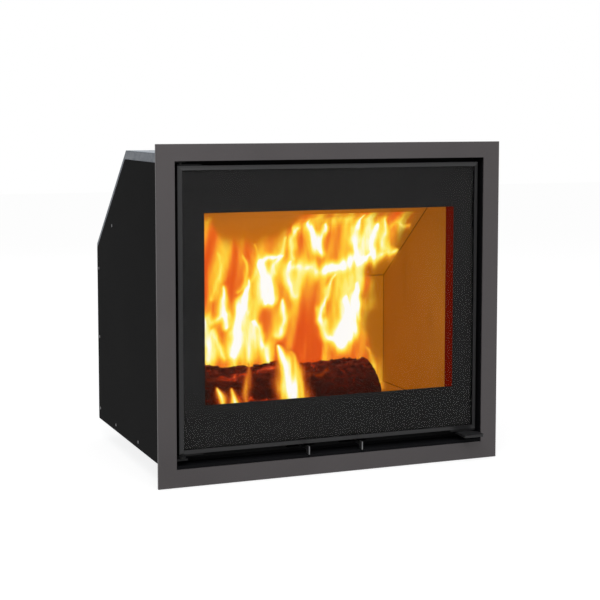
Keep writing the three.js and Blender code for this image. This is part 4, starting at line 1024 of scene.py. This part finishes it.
def flameSheet(sheet):
    # tongues and gas are joined as the cube root of the sum of their cubes
    rng = np.random.default_rng(sheet["seed"])
    step = flameGrid["step"]
    x, z = np.meshgrid(np.arange(*sheet["x"], step), np.arange(*sheet["z"], step))
    bentX = (x + flameWaver["x"] * ripple(x / 24, z / 40, rng)
             + flameWaver["fineX"] * ripple(x / 9, z / 22, rng))
    bentZ = z + flameWaver["z"] * ripple(x / 20, z / 46, rng)
    spread = sum(tongueHeat(bentX, bentZ, tongue) ** 3 for tongue in sheet["tongues"])
    hot = spread ** (1 / 3) * (1 + flameWaver["heat"] * ripple(x / 7, z / 60, rng))
    haze, body = hazeHeat(x, z, rng) if sheet["haze"] else (0.0, np.zeros(x.shape))
    body = body * sheet["haze"]
    cover = np.clip(np.maximum(body, 1.7 * hot - 0.1), 0, 1).ravel()
    # a tongue's thin edge stays orange outside the gas, and only its cover falls
    hot = (hot ** 3 + (haze * (body > 0)) ** 3) ** (1 / 3)
    hot = np.clip(np.maximum(hot, sheet["edge"] * (1 - body)), 0, 1).ravel()
    deep = np.minimum(sheet["deep"] + sheet["bow"] * ripple(x / 60, z / 80, rng),
                      slopeDepth(z) - flameGrid["clear"])
    points = np.stack([x * mm, frontPlane + deep * mm, z * mm + lift], -1).reshape(-1, 3)
    faces = gridFaces(*x.shape, closeCols=False)
    faces = faces[cover[faces].max(1) > flameGrid["thinnest"]]  # only where there is fire
    used, order = np.unique(faces, return_inverse=True)
    piece = newPiece(sheet["name"], points[used], order.reshape(faces.shape).tolist(), "insert")
    floatAttribute(piece, "fireHeat", hot[used])
    floatAttribute(piece, "fireCover", cover[used])
    dress(piece, "flame")


for sheet in flames:
    flameSheet(sheet)
print("flames:", len(flames), "sheets")


# Floor, light and camera

floorLook = {"reach": 9.0, "grey": 0.32, "seen": 0.82}
worldLook = {"light": 0.5, "seen": 1.0}
# name, place, power and size
lamps = [("keyLamp", (-0.55, -1.35, 1.75), 17.5, 1.3), ("fillLamp", (2.4, -1.6, 1.6), 5.0, 2.0),
         ("backLamp", (0.4, 2.6, 2.4), 14.0, 2.2)]
lampTarget = (0, 0, 0.3)


def backdropSeen(tree):
    # 1 where the camera sees the backdrop itself, in a reflection or through glass
    path = put(tree, "ShaderNodeLightPath").outputs
    seen = calc(tree, "MAXIMUM", path["Is Camera Ray"], path["Is Glossy Ray"])
    return calc(tree, "MAXIMUM", seen, path["Is Transmission Ray"])


def paleFloor():
    mesh = bpy.data.meshes.new("floor")
    reach = floorLook["reach"]
    mesh.from_pydata([(-reach, -reach, 0), (reach, -reach, 0), (reach, reach, 0),
                      (-reach, reach, 0)], [], [(0, 1, 2, 3)])
    floor = placed("floor", mesh)
    material = bpy.data.materials.new("paleFloor")
    material.use_nodes = True
    tree = material.node_tree
    tree.nodes.clear()
    glow = times(tree, backdropSeen(tree), floorLook["seen"])
    matt = put(tree, "ShaderNodeBsdfDiffuse", {"Color": [floorLook["grey"]] * 3})
    lifted = put(tree, "ShaderNodeEmission", {"Color": (1, 1, 1), "Strength": glow})
    both = put(tree, "ShaderNodeAddShader", {0: matt.outputs[0], 1: lifted.outputs[0]})
    put(tree, "ShaderNodeOutputMaterial", {"Surface": both.outputs[0]})
    mesh.materials.append(material)


def studioLight():
    world = bpy.data.worlds.new("studio")
    scene.world = world
    world.use_nodes = True
    tree = world.node_tree
    light = remap(tree, backdropSeen(tree), 0.0, 1.0, worldLook["light"], worldLook["seen"])
    fill(tree, tree.nodes["Background"], {"Color": (1, 1, 1), "Strength": light})
    for name, place, power, size in lamps:
        lamp = bpy.data.lights.new(name, "AREA")
        lamp.energy, lamp.size = power, size
        holder = placed(name, lamp)
        holder.location = place
        aim = np.array(lampTarget) - np.array(place)
        pitch = math.atan2(aim[2], math.hypot(aim[0], aim[1]))
        holder.rotation_euler = (math.pi / 2 + pitch, 0, -math.atan2(aim[0], aim[1]))
        holder.visible_camera = False


def photoCamera():
    view = {"place": (-1.0101, -2.5622, 0.6432), "yaw": 21.88, "pitch": 5.00, "lens": 87.0,
            "sensor": 36.0, "shift": -0.1}
    camera = bpy.data.cameras.new("camera")
    camera.lens, camera.sensor_width, camera.shift_y = view["lens"], view["sensor"], view["shift"]
    holder = placed("camera", camera)
    holder.location = view["place"]
    holder.rotation_euler = (math.radians(90 - view["pitch"]), 0, math.radians(-view["yaw"]))
    scene.camera = holder


paleFloor()
studioLight()
photoCamera()
scene.view_settings.view_transform = "Standard"
print("studio: floor, lamps, camera")
